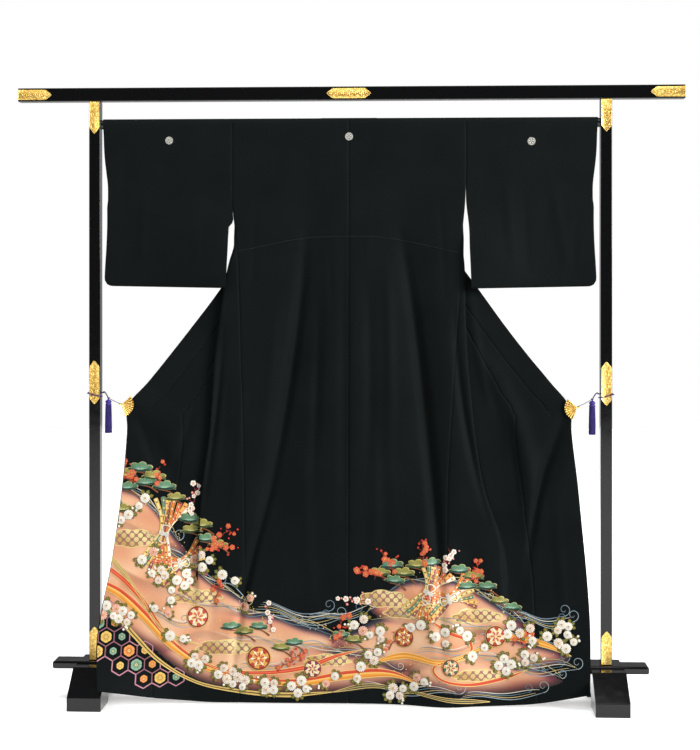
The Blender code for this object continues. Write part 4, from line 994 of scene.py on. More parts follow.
# The collar is one long strip of the same silk, folded double. It stands round the back of the neck, turns
# over outwards on the chest, and runs down each front to the clip.
COLLAR_SHARES = np.linspace(0.0, 1.0, 13)
halves = []
for side, _ in SIDES:
    bend = NECK_HALF - 0.0016 - NECK_TURN
    run = COLLAR_WIDTH * COLLAR_SHARES
    stations = []
    for share in np.linspace(0.0, 1.0, 13):
        curl = max(1.9 * (1 - share) ** 0.7, 0.02) / COLLAR_WIDTH
        back = 0.0014 + np.sin(run * curl) / curl
        up = RAIL_HEIGHT + OVER_RAIL - (1 - np.cos(run * curl)) / curl
        stations.append(np.stack((0.0 * run + side * bend * share, back, up), -1))
    for angle in np.linspace(pi / 16, pi / 2, 8):
        z = RAIL_HEIGHT + OVER_RAIL - NECK_TURN * (1 - cos(angle))
        y = sqrt(max((OVER_RAIL + 0.001) ** 2 - (z - RAIL_HEIGHT) ** 2, 0.0014**2))
        x = side * (bend + NECK_TURN * sin(angle))
        stations.append(np.stack((0.0 * run + x, y + run, 0.0 * run + z), -1))
    for fall in FALLS[(FALLS > 0.045) & (FALLS <= COLLAR_END)]:
        section = sections[side, fall]
        start = section.panel * section.stretch
        start += LAPEL_GAP * (1 - eased(fall, 0.21, SIDE_SEAM_TOP))
        end = section.panel + section.collar if section.flat else section.whole
        along = start + (end - start) * COLLAR_SHARES
        stations.append(dipped(section.place(along), along, fall > 0.24, False))
    halves.append(stations)
collar = cloth("collar_strip", np.array(halves[0][:0:-1] + halves[1]), COLLAR_WALL, False, "collar")

# The sleeves are bags folded over the rail at the shoulder. Each is sewn to the body for 23 cm, open at the
# wrist and along the rest of its inner edge, and rounded at its outer corner below.
SLEEVE_SHARES = shares(44)
SLEEVE_MEETS = 0.16
SLEEVE_PARTS = (0.287, 0.303)
SLEEVE_DROPS = {-1: 0.0065, 1: 0.0080}


def sleeve_row(side, fall, face, share):
    """Places along a sleeve: face is -1 on its back and 1 on its front, share runs out from its inner edge."""
    inner, outer = (curve_through(SLEEVE, column, fall) for column in ("inner", "outer"))
    if side < 0 and face < 0 and fall > SLEEVE_SEAM:
        body = curve_through(LEFT, "side", fall)
        inner = body + (inner - body) * eased(fall, *SLEEVE_PARTS)
    inner += 0.0065 * eased(fall, 0.30, 0.37) * max(face, 0.0)
    corner = fall - (SLEEVE_DROP - SLEEVE_CORNER)
    if corner > 0.0:
        outer -= SLEEVE_CORNER - sqrt(max(SLEEVE_CORNER**2 - corner**2, 0.0))
    x = side * (inner + (outer - inner) * share)
    if fall < QUARTER:
        angle = fall / OVER_RAIL
        up = 0.0 * x + RAIL_HEIGHT + OVER_RAIL * cos(angle)
        return np.stack((x, 0.0 * x + face * OVER_RAIL * sin(angle), up), -1)
    push = curve_through(SLEEVE, "push", fall) * (1 - eased(share, 0.0, 0.75)) + 0.012 * fall
    lower = eased(fall, 0.25, SLEEVE_DROP) * (SLEEVE_DROPS[side] + 0.006 * (1 - share))
    z = RAIL_HEIGHT - (fall - QUARTER) - lower
    y = face * curve_through(SLEEVE, "half_space", fall) - push + crease_depth(SLEEVE_CREASES[side], abs(x), z)
    if abs(face) == 1.0 and fall < SLEEVE_SEAM + 0.05:
        seam = hang(side * BACK_WIDTH, fall, 0.0) if face < 0 else Section(side, fall).place(0.0)
        meets = (1 - eased(share, 0.0, SLEEVE_MEETS)) * (1 - eased(fall, SLEEVE_SEAM, SLEEVE_SEAM + 0.05))
        y = y + (seam[1] - y) * meets
    return np.stack((x, y, z), -1)


def outer_edge(side, fall, face):
    """One place on a sleeve's outer edge."""
    return sleeve_row(side, fall, face, np.array([1.0]))[0]


for side, word in SIDES:
    low_turn = curve_through(SLEEVE, "half_space", SLEEVE_DROP)
    falls = np.linspace(QUARTER, SLEEVE_DROP - low_turn, 44)
    falls = np.concatenate((np.linspace(0.0, QUARTER, 7)[:-1], falls))
    arc = np.linspace(pi / 2, -pi / 2, 11)
    bottom = [(SLEEVE_DROP - low_turn * (1 - cos(a)), sin(a)) for a in arc]
    loop = [(fall, -1.0) for fall in falls[::-1]] + [(fall, 1.0) for fall in falls[1:]]
    loop += bottom[1:-1] + [(falls[-1], -1.0)]
    grid = []
    for fall, face in loop:
        row = sleeve_row(side, fall, face, SLEEVE_SHARES)
        grid.append(dipped(row, SLEEVE_SHARES * 0.34, face < 0 and QUARTER < fall < SLEEVE_SEAM, False))
    ends = []
    for fall in falls[falls >= CUFF_OPENING]:
        row = np.array([outer_edge(side, fall, sin(a)) for a in arc])
        row[0], row[-1] = (outer_edge(side, fall, face) for face in (1.0, -1.0))
        swell = 0.35 * curve_through(SLEEVE, "half_space", fall)
        swell *= eased(fall, CUFF_OPENING, CUFF_OPENING + 0.02)
        row[:, 0] += side * swell * np.cos(arc)
        ends.append(row)
    ends.append(np.array([outer_edge(side, fall, face) for fall, face in bottom]))
    shell_faces = quads(len(grid), len(SLEEVE_SHARES))
    shell_faces += quads(len(ends), len(arc), start=len(grid) * len(SLEEVE_SHARES))
    sleeve = new_piece(f"sleeve_bag_{word}", np.vstack(grid + ends), shell_faces, [CREPE, LINING])
    lined(outward(merged(sleeve)), WALL, f"sleeve_{word}")

# A tuck is taken across the back at the waist, to fit the length to its wearer. It is a narrow welt, pressed
# upwards, and held by a row of small stitches in black silk that catch the light.
TUCK = ((-0.3025, 1.221), (-0.130, 1.255), (0.001, 1.261), (0.117, 1.255), (0.3025, 1.215))
TUCK_PROFILE = ((-0.0016, 0.0), (-0.0009, 0.0006), (0.0004, 0.0011), (0.0012, 0.0009), (0.0014, 0.0))
STITCH_EVERY = 0.0042


def on_back(x, z, height):
    """A place on the outside of the back, at a height over it."""
    lift = curve_through(HEM, "lift", x, "x")
    fall = QUARTER + (LENGTH - QUARTER) * (RAIL_HEIGHT - z) / (RAIL_HEIGHT - lift)
    return hang(x, fall, 0.0) - np.array((0.0, WALL / 2 + height, 0.0))


def stitch_tree():
    """Small stitches that follow a line, one at each step along it."""
    tree, put, given = new_tree("Row of stitches", Step=0.004, Thread=0.0003, Stitch=0.001, Finish=None)
    line = put("GeometryNodeMeshToCurve", {"Mesh": given["Geometry"]})
    steps = put("GeometryNodeCurveToPoints", {"Curve": line, "Length": given["Step"]}, mode="LENGTH").outputs
    bead = put("GeometryNodeMeshUVSphere", {"Segments": 6, "Rings": 4, "Radius": given["Thread"]})
    pull = put("ShaderNodeMath", {0: given["Stitch"], 1: given["Thread"]}, operation="DIVIDE")
    shape = put("ShaderNodeCombineXYZ", {"X": 1.0, "Y": 1.0, "Z": pull})
    turned = put("FunctionNodeAlignRotationToVector", {"Vector": steps["Tangent"]}, axis="Z")
    laid = {"Points": steps["Points"], "Instance": bead, "Rotation": turned, "Scale": shape}
    return end_tree(tree, put("GeometryNodeInstanceOnPoints", laid), given["Finish"])


tuck_line = smooth_route(TUCK, 0.006)
places = np.array([on_back(x, z + up, out) for x, z in tuck_line for up, out in TUCK_PROFILE])
faces = [face[::-1] for face in quads(len(tuck_line), len(TUCK_PROFILE))]
settle(new_piece("waist_tuck", places, faces, [CREPE]), "crepe")
BLACK_THREAD = silk_yarn("Black silk sewing thread", "#232929", "#495252")
line = np.array([on_back(x, z - 0.0004, 0.0011) for x, z in tuck_line])
links = [(k, k + 1) for k in range(len(line) - 1)]
stitches = new_piece("waist_tuck_stitches", line, [], [], smooth=False, lines=links)
sizes = {"Step": STITCH_EVERY, "Thread": 0.00035, "Stitch": 0.0011, "Finish": BLACK_THREAD}
settle(run_tree(stitches, stitch_tree(), sizes), "crepe")

# The clips that draw the fronts out: a sprung jaw of gilt brass bites the cloth's corner, and carries a small
# pleated fan with a guard stick at each side, a rivet and a finial at its pivot.
JAW_LEG = 0.017
JAW_WALL = 0.0012
JAW_SPACE = 0.0052
JAW_HEIGHT = 0.010
JAW_REACH = 0.0105
FAN_RADIUS = 0.032
FAN_SPREAD = radians(114)
FAN_LEANS = radians(-15)
FAN_RIBS = 9
FAN_WAVE = 0.0012
FAN_RADII = np.array((0.0035, 0.007, 0.011, 0.015, 0.019, 0.0225, 0.0255, 0.028, 0.030, 0.0312, FAN_RADIUS))
FINIAL = ((0.0, 0.0012), (0.0015, 0.0022), (0.0035, 0.0026))
FINIAL += ((0.0055, 0.0018), (0.0070, 0.0009), (0.0080, 0.0003))


def gilt_toned_and_shaded_in_folds():
    """The same gilt, dark in the fan's folds as unburnished toning and as painted shade, so that each rib
    stands out.
    """
    made, put, shader, place = new_material("Gilt toned and painted with shade in the folds", {"Metallic": 1.0, "Roughness": 0.5})
    patches = put("ShaderNodeTexNoise", {"Vector": place, "Scale": 260.0, "Detail": 3.0, "Roughness": 0.6})
    stops = ((0.34, "#4E2C0C"), (0.62, "#9A6420"))
    put("ShaderNodeValToRGB", {"Fac": patches}, stops=stops, to=shader["Base Color"])
    return made
def fan_places(pivot, side, turn, reach, front):
    """Places on the fan at shares of its spread and distances from its pivot, some way in front of it."""
    angle = FAN_LEANS + FAN_SPREAD * turn
    x, z = pivot[0] - side * reach * np.cos(angle), pivot[2] + reach * np.sin(angle)
    return np.stack((x, 0.0 * x + pivot[1] - front, z), -1)


GILT_TONED_AND_SHADED_IN_FOLDS = gilt_toned_and_shaded_in_folds()
for side, word in SIDES:
    corner = sections[side, COLLAR_END]
    grip = corner.place(corner.whole)
    along = grip - corner.place(corner.whole - 0.02)
    slant = np.arctan(along[1] / along[0])
    outer = side * JAW_REACH
    inner = outer - side * JAW_LEG
    bridge = outer - side * JAW_WALL
    space = JAW_SPACE / 2
    outside = space + JAW_WALL
    outline = [(inner, -outside), (outer, -outside), (outer, outside), (inner, outside)]
    outline += [(inner, space), (bridge, space), (bridge, -space), (inner, -space)]
    c, s = cos(slant), sin(slant)
    outline = [(grip[0] + x * c - y * s, grip[1] + x * s + y * c) for x, y in outline]
    jaw = prism(outline, grip[2] - JAW_HEIGHT / 2, grip[2] + JAW_HEIGHT / 2, 2)
    settle(solid_piece(f"gilt_clip_jaw_{word}", jaw, GILT, 0.0004), "gilt", f"clip_jaw_{word}")
    pivot = np.array((grip[0] + outer + side * 0.005, grip[1] - outside - 0.0017, grip[2] + 0.002))
    turns = np.linspace(-0.5, 0.5, 4 * FAN_RIBS + 1)
    grid = []
    for k, turn in enumerate(turns):
        wave = (1.0, 0.0, -1.0, 0.0)[k % 4]
        reach = FAN_RADII * (1 - 0.02 * (wave < 0))
        grid.append(fan_places(pivot, side, turn, reach, wave * FAN_WAVE * FAN_RADII / FAN_RADIUS))
    width = len(FAN_RADII)
    faces = quads(len(turns), width)
    fan = new_piece(f"gilt_pleated_fan_{word}", np.vstack(grid), faces, [GILT, GILT_TONED_AND_SHADED_IN_FOLDS], smooth=False)
    # the faces that run down into and up out of each fold take the darker gilt, which paints shade into the
    # folds
    for face in outward(fan).data.polygons:
        face.material_index = int(face.index // (width - 1) % 4 in (1, 2))
    leaf = fan.modifiers.new("Leaf", "SOLIDIFY")
    leaf.thickness = 0.0006
    leaf.offset = 0.0
    plain(fan).data.set_sharp_from_angle(angle=radians(20))
    settle(fan, "gilt", f"clip_fan_{word}")
    parts = []
    for turn in (-0.5, 0.5):
        reach = np.linspace(0.0, FAN_RADIUS + 0.0008, 14)
        guard = fan_places(pivot, side, turn, reach, 0.0006)
        parts.append(tube_parts(guard, 0.0009 + 0.0005 * reach / FAN_RADIUS, 8))
    for share in (0.62, 0.86):
        hoop = fan_places(pivot, side, np.linspace(-0.5, 0.5, 60), FAN_RADIUS * share, 0.0012 * share)
        parts.append(tube_parts(hoop, np.full(60, 0.00035), 6))
    parts.append(dome(pivot + (0.0, -0.0006, 0.0), 0.0026, 0.0016, 16))
    tip = np.array([pivot + (side * (0.002 + run), 0.0, -run * sin(FAN_LEANS)) for run, _ in FINIAL])
    parts.append(tube_parts(tip, np.array([radius for _, radius in FINIAL]), 12))
    settle(new_piece(f"gilt_fan_guards_{word}", *joined_parts(parts), [GILT]), "gilt")

# The hem's design is dyed, painted, gilded and embroidered on the outside, and rises highest at the left. Each
# part of it is laid on whichever layer of cloth shows at its place, so it bends with the folds.
DESIGN_STEP_X = 0.002
DESIGN_STEP_FALL = 0.008
DESIGN_GRID_X = np.arange(-0.700, 0.7001, DESIGN_STEP_X)
DESIGN_GRID_FALL = np.arange(0.90, LENGTH + 0.0001, DESIGN_STEP_FALL)
EDGE_MARGIN = 0.0007
FOLD_GAP = 0.0007


def outermost(line, side):
    """Depth of a folded line of cloth at each place of the grid, on the outer face nearest the viewer."""
    ahead = np.gradient(line[:, :2], axis=0)
    ahead /= np.linalg.norm(ahead, axis=1)[:, None]
    face = line[:, :2] + side * (WALL / 2) * np.stack((ahead[:, 1], -ahead[:, 0]), -1)
    x0, x1, y0, y1 = face[:-1, :1], face[1:, :1], face[:-1, 1:], face[1:, 1:]
    over = (np.minimum(x0, x1) <= DESIGN_GRID_X) & (DESIGN_GRID_X <= np.maximum(x0, x1))
    share = (DESIGN_GRID_X - x0) / np.where(x1 == x0, 1.0, x1 - x0)
    return np.where(over, y0 + (y1 - y0) * np.clip(share, 0.0, 1.0), np.inf).min(axis=0)


outer_depth, side_edges, fold_edges = [], {-1: [], 1: []}, {-1: [], 1: []}
for fall in DESIGN_GRID_FALL:
    nearest = np.full(len(DESIGN_GRID_X), np.inf)
    for side, _ in SIDES:
        section = Section(side, float(fall))
        front = section.place(np.arange(0.0, section.whole, 0.0015))
        back = hang(side * np.arange(0.0, section.seam_x + 0.002, 0.002), fall, 0.0)
        nearest = np.minimum(nearest, np.minimum(outermost(front, side), outermost(back, side)))
        side_edges[side].append((front[-1][2], abs(front[-1][0])))
        if curve_through(LEFT if side < 0 else RIGHT, "pleated", fall) > 0.2:
            fold_edges[side].append((section.fold_x, front[0][2]))
    known = np.isfinite(nearest)
    outer_depth.append(np.interp(DESIGN_GRID_X, DESIGN_GRID_X[known], nearest[known]))
outer_depth = np.array(outer_depth)
side_edges = {side: np.array(edge)[::-1] for side, edge in side_edges.items()}


def on_cloth(x, z, height):
    """Places on the outside of the cloth, at heights over it."""
    x, z = np.asarray(x, dtype=float), np.asarray(z, dtype=float)
    lift = curve_through(HEM, "lift", x, "x")
    fall = QUARTER + (LENGTH - QUARTER) * (RAIL_HEIGHT - z) / (RAIL_HEIGHT - lift)
    i = np.clip((fall - DESIGN_GRID_FALL[0]) / DESIGN_STEP_FALL, 0.0, len(DESIGN_GRID_FALL) - 1.001)
    j = np.clip((x - DESIGN_GRID_X[0]) / DESIGN_STEP_X, 0.0, len(DESIGN_GRID_X) - 1.001)
    row, column = i.astype(int), j.astype(int)
    i, j = i - row, j - column
    depth = (1 - i) * ((1 - j) * outer_depth[row, column] + j * outer_depth[row, column + 1])
    depth = depth + i * ((1 - j) * outer_depth[row + 1, column] + j * outer_depth[row + 1, column + 1])
    return np.stack((x, depth - height, z), -1)


def kept_on(x, z, margin=EDGE_MARGIN):
    """Flat places moved in to the garment's edges where they would lie past them."""
    z = np.maximum(z, curve_through(HEM, "lift", x, "x") + margin)
    left, right = (np.interp(z, side_edges[side][:, 0], side_edges[side][:, 1]) for side in (-1, 1))
    return np.clip(x, margin - left, right - margin), z


def torn(places, faces):
    """The faces that don't reach across the step at a pleat's edge, where the depth jumps."""
    kept = []
    for face in faces:
        wide, deep, high = np.ptp([places[k] for k in face], axis=0)
        if deep < 0.003 + 0.35 * max(wide, high):
            kept.append(face)
    return kept
def turned_flat(flat, turn, size=1.0, middle=(0.0, 0.0)):
    """Flat places turned, sized and moved."""
    c, s = cos(turn) * size, sin(turn) * size
    x, z = flat[:, 0], flat[:, 1]
    return np.column_stack((middle[0] + x * c - z * s, middle[1] + x * s + z * c))
class Worked:
    """Parts of the design in one finish: their places, faces and tints."""

    def __init__(self):
        self.places, self.faces, self.tints, self.count = [], [], [], 0

    def add(self, places, faces, tints):
        self.faces += [tuple(self.count + k for k in face) for face in torn(places, faces)]
        self.places.append(places)
        self.tints.append(np.broadcast_to(tints, (len(places), 4)))
        self.count += len(places)

    def stripe(self, route, widths, colour, height, shades=None):
        """A painted line or ribbon: flat places, its width along them, and colours across it."""
        route = np.asarray(route, dtype=float)
        ahead = np.gradient(route, axis=0)
        ahead /= np.maximum(np.linalg.norm(ahead, axis=1), 1e-9)[:, None]
        across = np.stack((-ahead[:, 1], ahead[:, 0]), -1)
        colours = shades or (colour, colour)
        wide = len(colours)
        widths = np.broadcast_to(widths, len(route))
        edges = [route + across * (widths * step)[:, None] for step in np.linspace(-0.5, 0.5, wide)]
        flat = np.stack(edges, axis=1).reshape(-1, 2)
        tints = np.tile([tint(code) for code in colours], (len(route), 1))
        self.add(on_cloth(*kept_on(flat[:, 0], flat[:, 1]), height), quads(len(route), wide), tints)

    def stamp(self, form, middles, sizes, turns, height):
        """Copies of a small flat form on the cloth: form is flat places, heights, faces and tints."""
        flat, heights, faces, tints = form
        for middle, size, turn in zip(middles, sizes, turns):
            placed = kept_on(*turned_flat(flat, turn, size, middle).T, 0.002)
            self.add(on_cloth(*placed, height + heights), faces, tints)

    def field(self, outline, shade, height, step=0.0065):
        """A filled area of any outline, with a tint worked out at each of its places."""
        outline = np.asarray(outline, dtype=float)
        border = smoothed(outline, step * 0.7)
        border = np.stack(kept_on(border[:, 0], border[:, 1]), -1)
        keep = np.linalg.norm(border - np.roll(border, 1, axis=0), axis=1) > 0.0006
        border = border[keep]
        low, high = border.min(axis=0), border.max(axis=0)
        grid = np.stack(np.meshgrid(np.arange(low[0], high[0], step), np.arange(low[1], high[1], step)), -1)
        grid[1::2, :, 0] += step / 2
        grid = grid.reshape(-1, 2)
        grid = grid[inside(border, grid[:, 0], grid[:, 1])]
        near = np.array([np.abs(border - place).max(axis=1).min() for place in grid]) if len(grid) else grid
        grid = grid[near > step * 0.4] if len(grid) else grid
        points = [Vector(place) for place in np.vstack((border, grid))]
        lines = [(i, (i + 1) % len(border)) for i in range(len(border))]
        for side, edge in fold_edges.items():
            for shift in (-FOLD_GAP, FOLD_GAP):
                ends = [(side * (x + shift), z) for x, z in edge if low[1] - step < z < high[1] + step]
                lines += [(len(points) + i, len(points) + i + 1) for i in range(len(ends) - 1)]
                points += [Vector(end) for end in ends]
        found, _, faces, _, _, _ = delaunay_2d_cdt(points, lines, [], 0, 1e-6)
        found = np.array([tuple(place) for place in found])
        middles = np.array([found[list(face)].mean(axis=0) for face in faces])
        within = inside(border, middles[:, 0], middles[:, 1])
        faces = [tuple(face) for face, kept in zip(faces, within) if kept]
        used = sorted({k for face in faces for k in face})
        order = {k: i for i, k in enumerate(used)}
        faces = [tuple(order[k] for k in face) for face in faces]
        found = found[used]
        self.add(on_cloth(found[:, 0], found[:, 1], height), faces, shade(found[:, 0], found[:, 1]))
        return border

    def finish(self, name, finish):
        """All the parts as one piece that faces the viewer."""
        made = new_piece(name, np.vstack(self.places), self.faces, [finish])
        colours = made.data.color_attributes.new("Tint", "FLOAT_COLOR", "POINT")
        colours.data.foreach_set("color", np.vstack(self.tints).ravel())
        with reshaping(made) as shape:
            loose = [vert for vert in shape.verts if not vert.link_faces]
            bmesh.ops.delete(shape, geom=loose, context="VERTS")
            backward = [face for face in shape.faces if face.normal.y > 0.0]
            bmesh.ops.reverse_faces(shape, faces=backward)
        settle(made, "crepe")


def smoothed(outline, step):
    """A closed outline with places at even steps between its own."""
    ahead = np.roll(outline, -1, axis=0)
    made = []
    for start, end in zip(outline, ahead):
        count = max(1, round(np.linalg.norm(end - start) / step))
        made += [start + (end - start) * k / count for k in range(count)]
    return np.array(made)


def mixed(low, high, share):
    """Tints between two colours, one for each share."""
    share = np.clip(np.asarray(share, dtype=float), 0.0, 1.0)[..., None]
    return np.array(tint(low)) * (1 - share) + np.array(tint(high)) * share


def painted(name, roughness, grain, strength, metallic=0.0):
    """Colour laid on silk: its tints are carried by the piece, over the crepe's own fine pebble."""
    even = {"Roughness": roughness, "Metallic": metallic, "Specular IOR Level": 0.3}
    made, put, shader, place = new_material(name, even)
    carried = put("ShaderNodeAttribute", attribute_name="Tint").outputs["Color"]
    pebble = put("ShaderNodeTexNoise", {"Vector": place, "Scale": grain, "Detail": 3.0, "Roughness": 0.6})
    shade = put("ShaderNodeMapRange", {"Value": pebble, "From Min": 0.3, "From Max": 0.7, "To Min": 0.86})
    put("ShaderNodeVectorMath", {0: carried, "Scale": shade}, operation="SCALE", to=shader["Base Color"])
    put("ShaderNodeBump", {"Height": pebble, "Strength": strength, "Distance": 0.0005}, to=shader["Normal"])
    return made
DYED_SILK = painted("Dyed and painted silk", 0.65, 720.0, 0.3)
SILK_FLOSS = painted("Embroidered silk floss", 0.42, 1300.0, 0.6)
GOLD_LEAF = painted("Gold leaf and couched gold thread", 0.38, 900.0, 0.5, 0.35)
random = np.random.default_rng(11)

# Mist drifts over the hem in long rolling banks, dyed by hand in salmon and peach. Each is dark and crisp
# along its ridge, clears downwards, and sinks away softly through rose into the black.
MIST_STEP = 0.0035
BANKS = [
    rows("x ridge foot", *table)
    for table in (
        (
            (-0.720, 0.600, 0.470), (-0.640, 0.598, 0.450), (-0.580, 0.575, 0.440), (-0.520, 0.520, 0.420),
            (-0.470, 0.455, 0.400), (-0.430, 0.400, 0.398),
        ),
        (
            (-0.720, 0.500, 0.330), (-0.620, 0.492, 0.300), (-0.540, 0.455, 0.270), (-0.460, 0.400, 0.240),
            (-0.380, 0.345, 0.220), (-0.300, 0.290, 0.225), (-0.240, 0.240, 0.238),
        ),
        (
            (-0.720, 0.385, 0.280), (-0.620, 0.366, 0.215), (-0.540, 0.334, 0.160), (-0.440, 0.290, 0.120),
            (-0.320, 0.262, 0.100), (-0.200, 0.240, 0.105), (-0.080, 0.205, 0.125), (0.010, 0.160, 0.158),
        ),
        (
            (-0.520, 0.150, 0.148), (-0.420, 0.192, 0.075), (-0.300, 0.184, 0.042), (-0.160, 0.168, 0.032),
            (-0.020, 0.152, 0.038), (0.100, 0.122, 0.055), (0.190, 0.080, 0.078),
        ),
        (
            (0.050, 0.262, 0.260), (0.120, 0.318, 0.210), (0.200, 0.345, 0.190), (0.290, 0.338, 0.180),
            (0.370, 0.300, 0.185), (0.440, 0.245, 0.195), (0.490, 0.205, 0.203),
        ),
        (
            (-0.050, 0.165, 0.163), (0.060, 0.228, 0.115), (0.160, 0.244, 0.090), (0.280, 0.232, 0.080),
            (0.400, 0.205, 0.085), (0.500, 0.178, 0.105), (0.605, 0.135, 0.133),
        ),
        (
            (0.120, 0.080, 0.078), (0.220, 0.132, 0.052), (0.320, 0.142, 0.038), (0.420, 0.130, 0.040),
            (0.510, 0.108, 0.058), (0.590, 0.078, 0.076),
        ),
    )
]


def blended(share, *codes):
    """Tints that run evenly through some colours."""
    share = np.clip(share, 0.0, 1.0) * (len(codes) - 1)
    known = np.array([tint(code) for code in codes])
    return np.stack([np.interp(share, np.arange(len(codes)), known[:, k]) for k in range(4)], -1)


def mist_at(x, z):
    """The tint of the mist at each place, and how much of it there is."""
    colour = blended(0.0 * x, "#0E1213", "#0E1213")
    cover = 0.0 * x
    for k, table in enumerate(BANKS):
        ridge, foot = (curve_through(table, column, x, "x") for column in ("ridge", "foot"))
        ridge = ridge + 0.004 * np.sin(x * 43 + k * 1.9)
        below, above = ridge - z, z - foot
        ends = eased(ridge - foot, 0.004, 0.030) * (x > table["x"][0]) * (x < table["x"][-1])
        there = eased(below, -0.001, 0.005) * eased(above, -0.006, 0.034) * ends
        cloud = 0.5 + 0.28 * np.sin(x * 37 + k * 2.1) * np.sin(z * 52 + x * 11)
        cloud += 0.22 * np.sin(x * 13 - z * 29 + k)
        body = blended(cloud, "#CF8A66", "#DC9F78", "#E4B08A", "#E9C09B")
        shadow = blended(eased(below, 0.0, 0.036), "#10161D", "#2C2C38", "#6B4650", "#B87468", "#D98D73")
        veil = np.maximum(eased(below, 0.010, 0.040), 0.78 * cover)[..., None]
        shown = shadow * (1 - veil) + body * veil
        rose = (1 - eased(above, 0.0, 0.048))[..., None]
        shown = shown * (1 - 0.8 * rose) + blended(0.0 * x, "#8E3F4A", "#8E3F4A") * 0.8 * rose
        there = there[..., None]
        colour = colour * (1 - there) + shown * there
        cover = np.maximum(cover, there[..., 0])
    return colour, cover


dyed = Worked()
gilding = Worked()
across, up = np.meshgrid(np.arange(-0.700, 0.640, MIST_STEP), np.arange(0.010, 0.630, MIST_STEP))
for side, edge in fold_edges.items():
    edge = np.array(edge)[::-1]
    for i, z in enumerate(up[:, 0]):
        if edge[0, 1] < z < edge[-1, 1]:
            fold = side * np.interp(z, edge[:, 1], edge[:, 0])
            j = int((fold - across[i, 0]) / MIST_STEP)
            across[i, j : j + 2] = fold - FOLD_GAP, fold + FOLD_GAP
tints, cover = mist_at(across, up)
placed = np.stack(kept_on(across, up), -1)
kept = (cover > 0.01) & (np.abs(placed - np.stack((across, up), -1)) < MIST_STEP).all(axis=-1)
faces = grid_faces(np.arange(across.size).reshape(across.shape), kept)
dyed.add(on_cloth(placed[..., 0].ravel(), placed[..., 1].ravel(), 0.00030), faces, tints.reshape(-1, 4))
dyed.finish("dyed_mist_banks", DYED_SILK)

# Flakes of cut gold leaf are strewn over the ridges of the mist.
FLAKES = 60
square = np.array(((-0.5, -0.5), (0.5, -0.5), (0.5, 0.5), (-0.5, 0.5)))
flake = square, np.zeros(4), [(0, 1, 2, 3)], np.tile(tint("#E6C878"), (4, 1))
for table in BANKS:
    x = random.uniform(table["x"][0], table["x"][-1], FLAKES)
    z = curve_through(table, "ridge", x, "x") + random.normal(0.004, 0.012, FLAKES)
    sizes = random.uniform(0.0012, 0.0030, FLAKES)
    gilding.stamp(flake, np.column_stack((x, z)), sizes, random.uniform(0.0, pi, FLAKES), 0.0010)

# The hem's lowest corner at the left is bare black under a net of rose tortoise-shell cells, with a small
# gold, orange or green flower set in every second one.
net = Worked()
NET_CELL = 0.024
NET_AREA = np.array(
    (
        (-0.690, 0.300), (-0.640, 0.270), (-0.585, 0.205), (-0.525, 0.135), (-0.455, 0.075), (-0.430, 0.045),
        (-0.500, 0.052), (-0.580, 0.082), (-0.650, 0.120), (-0.690, 0.160),
    )
)


def petal(turn, root, tip, half_wide, dark, light, rise):
    """One petal that points along a turn, from its root to its rounded tip, raised along its middle."""
    outline = ((0.0, 0.30), (0.35, 0.80), (0.70, 1.00), (0.90, 0.72), (1.0, 0.0))
    side = [(root + (tip - root) * run, half_wide * wide) for run, wide in outline]
    flat = side + [(run, -wide) for run, wide in side[-2::-1]]
    flat = np.array([(root + (tip - root) * 0.6, 0.0)] + flat)
    heights = np.concatenate(([rise], np.full(len(flat) - 1, rise * 0.35)))
    along = np.clip((flat[1:, 0] - root) / (tip - root) * 1.3, 0.0, 1.0)
    faces = [(0, k, k + 1) for k in range(1, len(flat) - 1)] + [(0, len(flat) - 1, 1)]
    return turned_flat(flat, turn), heights, faces, mixed(dark, light, np.concatenate(([0.95], along)))


def flower(*parts):
    """Petals and discs joined into one flat form."""
    flats, heights, faces, tints = zip(*parts)
    starts = np.cumsum([0] + [len(flat) for flat in flats])
    moved = [tuple(start + k for k in face) for start, own in zip(starts, faces) for face in own]
    return np.vstack(flats), np.concatenate(heights), moved, np.vstack(tints)


def disc(radius, code, height, middle=(0.0, 0.0), sides=12):
    """A small round of one colour."""
    flat = np.vstack(([middle], circle(sides) * radius + middle))
    faces = [(0, 1 + k, 1 + (k + 1) % sides) for k in range(sides)]
    return flat, np.full(len(flat), height), faces, np.tile(tint(code), (len(flat), 1))


def roundel(light, shade):
    """A six-petalled flower that fills a cell of the net."""
    parts = [petal(pi / 6 + pi * k / 3, 0.10, 1.0, 0.46, shade, light, 0.0007) for k in range(6)]
    return flower(disc(0.70, shade, 0.0), *parts, disc(0.26, "#E8C878", 0.0011), disc(0.11, shade, 0.0012))


ROUNDELS = (roundel("#D9B45C", "#8A5A2A"), roundel("#7FA088", "#2F5A48"), roundel("#E0914A", "#8A4A22"))
for row in range(-2, 12):
    for column in range(-2, 10):
        x = -0.690 + (column + 0.5 * (row % 2)) * NET_CELL * sqrt(3)
        z = 0.040 + row * NET_CELL * 1.5
        if not inside(NET_AREA, x, z):
            continue
        corners = (circle(6) * NET_CELL) @ ((cos(pi / 6), sin(pi / 6)), (-sin(pi / 6), cos(pi / 6))) + (x, z)
        for start, end in zip(corners, np.roll(corners, -1, axis=0)):
            edge = [start * (1 - share) + end * share for share in np.linspace(0.0, 1.0, 5)]
            net.stripe(edge, 0.0032, None, 0.00050, ("#8A5566", "#C08A94", "#8A5566"))
        size = NET_CELL * (0.62 if (row + column) % 2 else 0.40)
        net.stamp(ROUNDELS[(row * 2 + column) % 3], [(x, z)], [size], [0.0], 0.00060)
net.finish("painted_tortoiseshell_net", DYED_SILK)

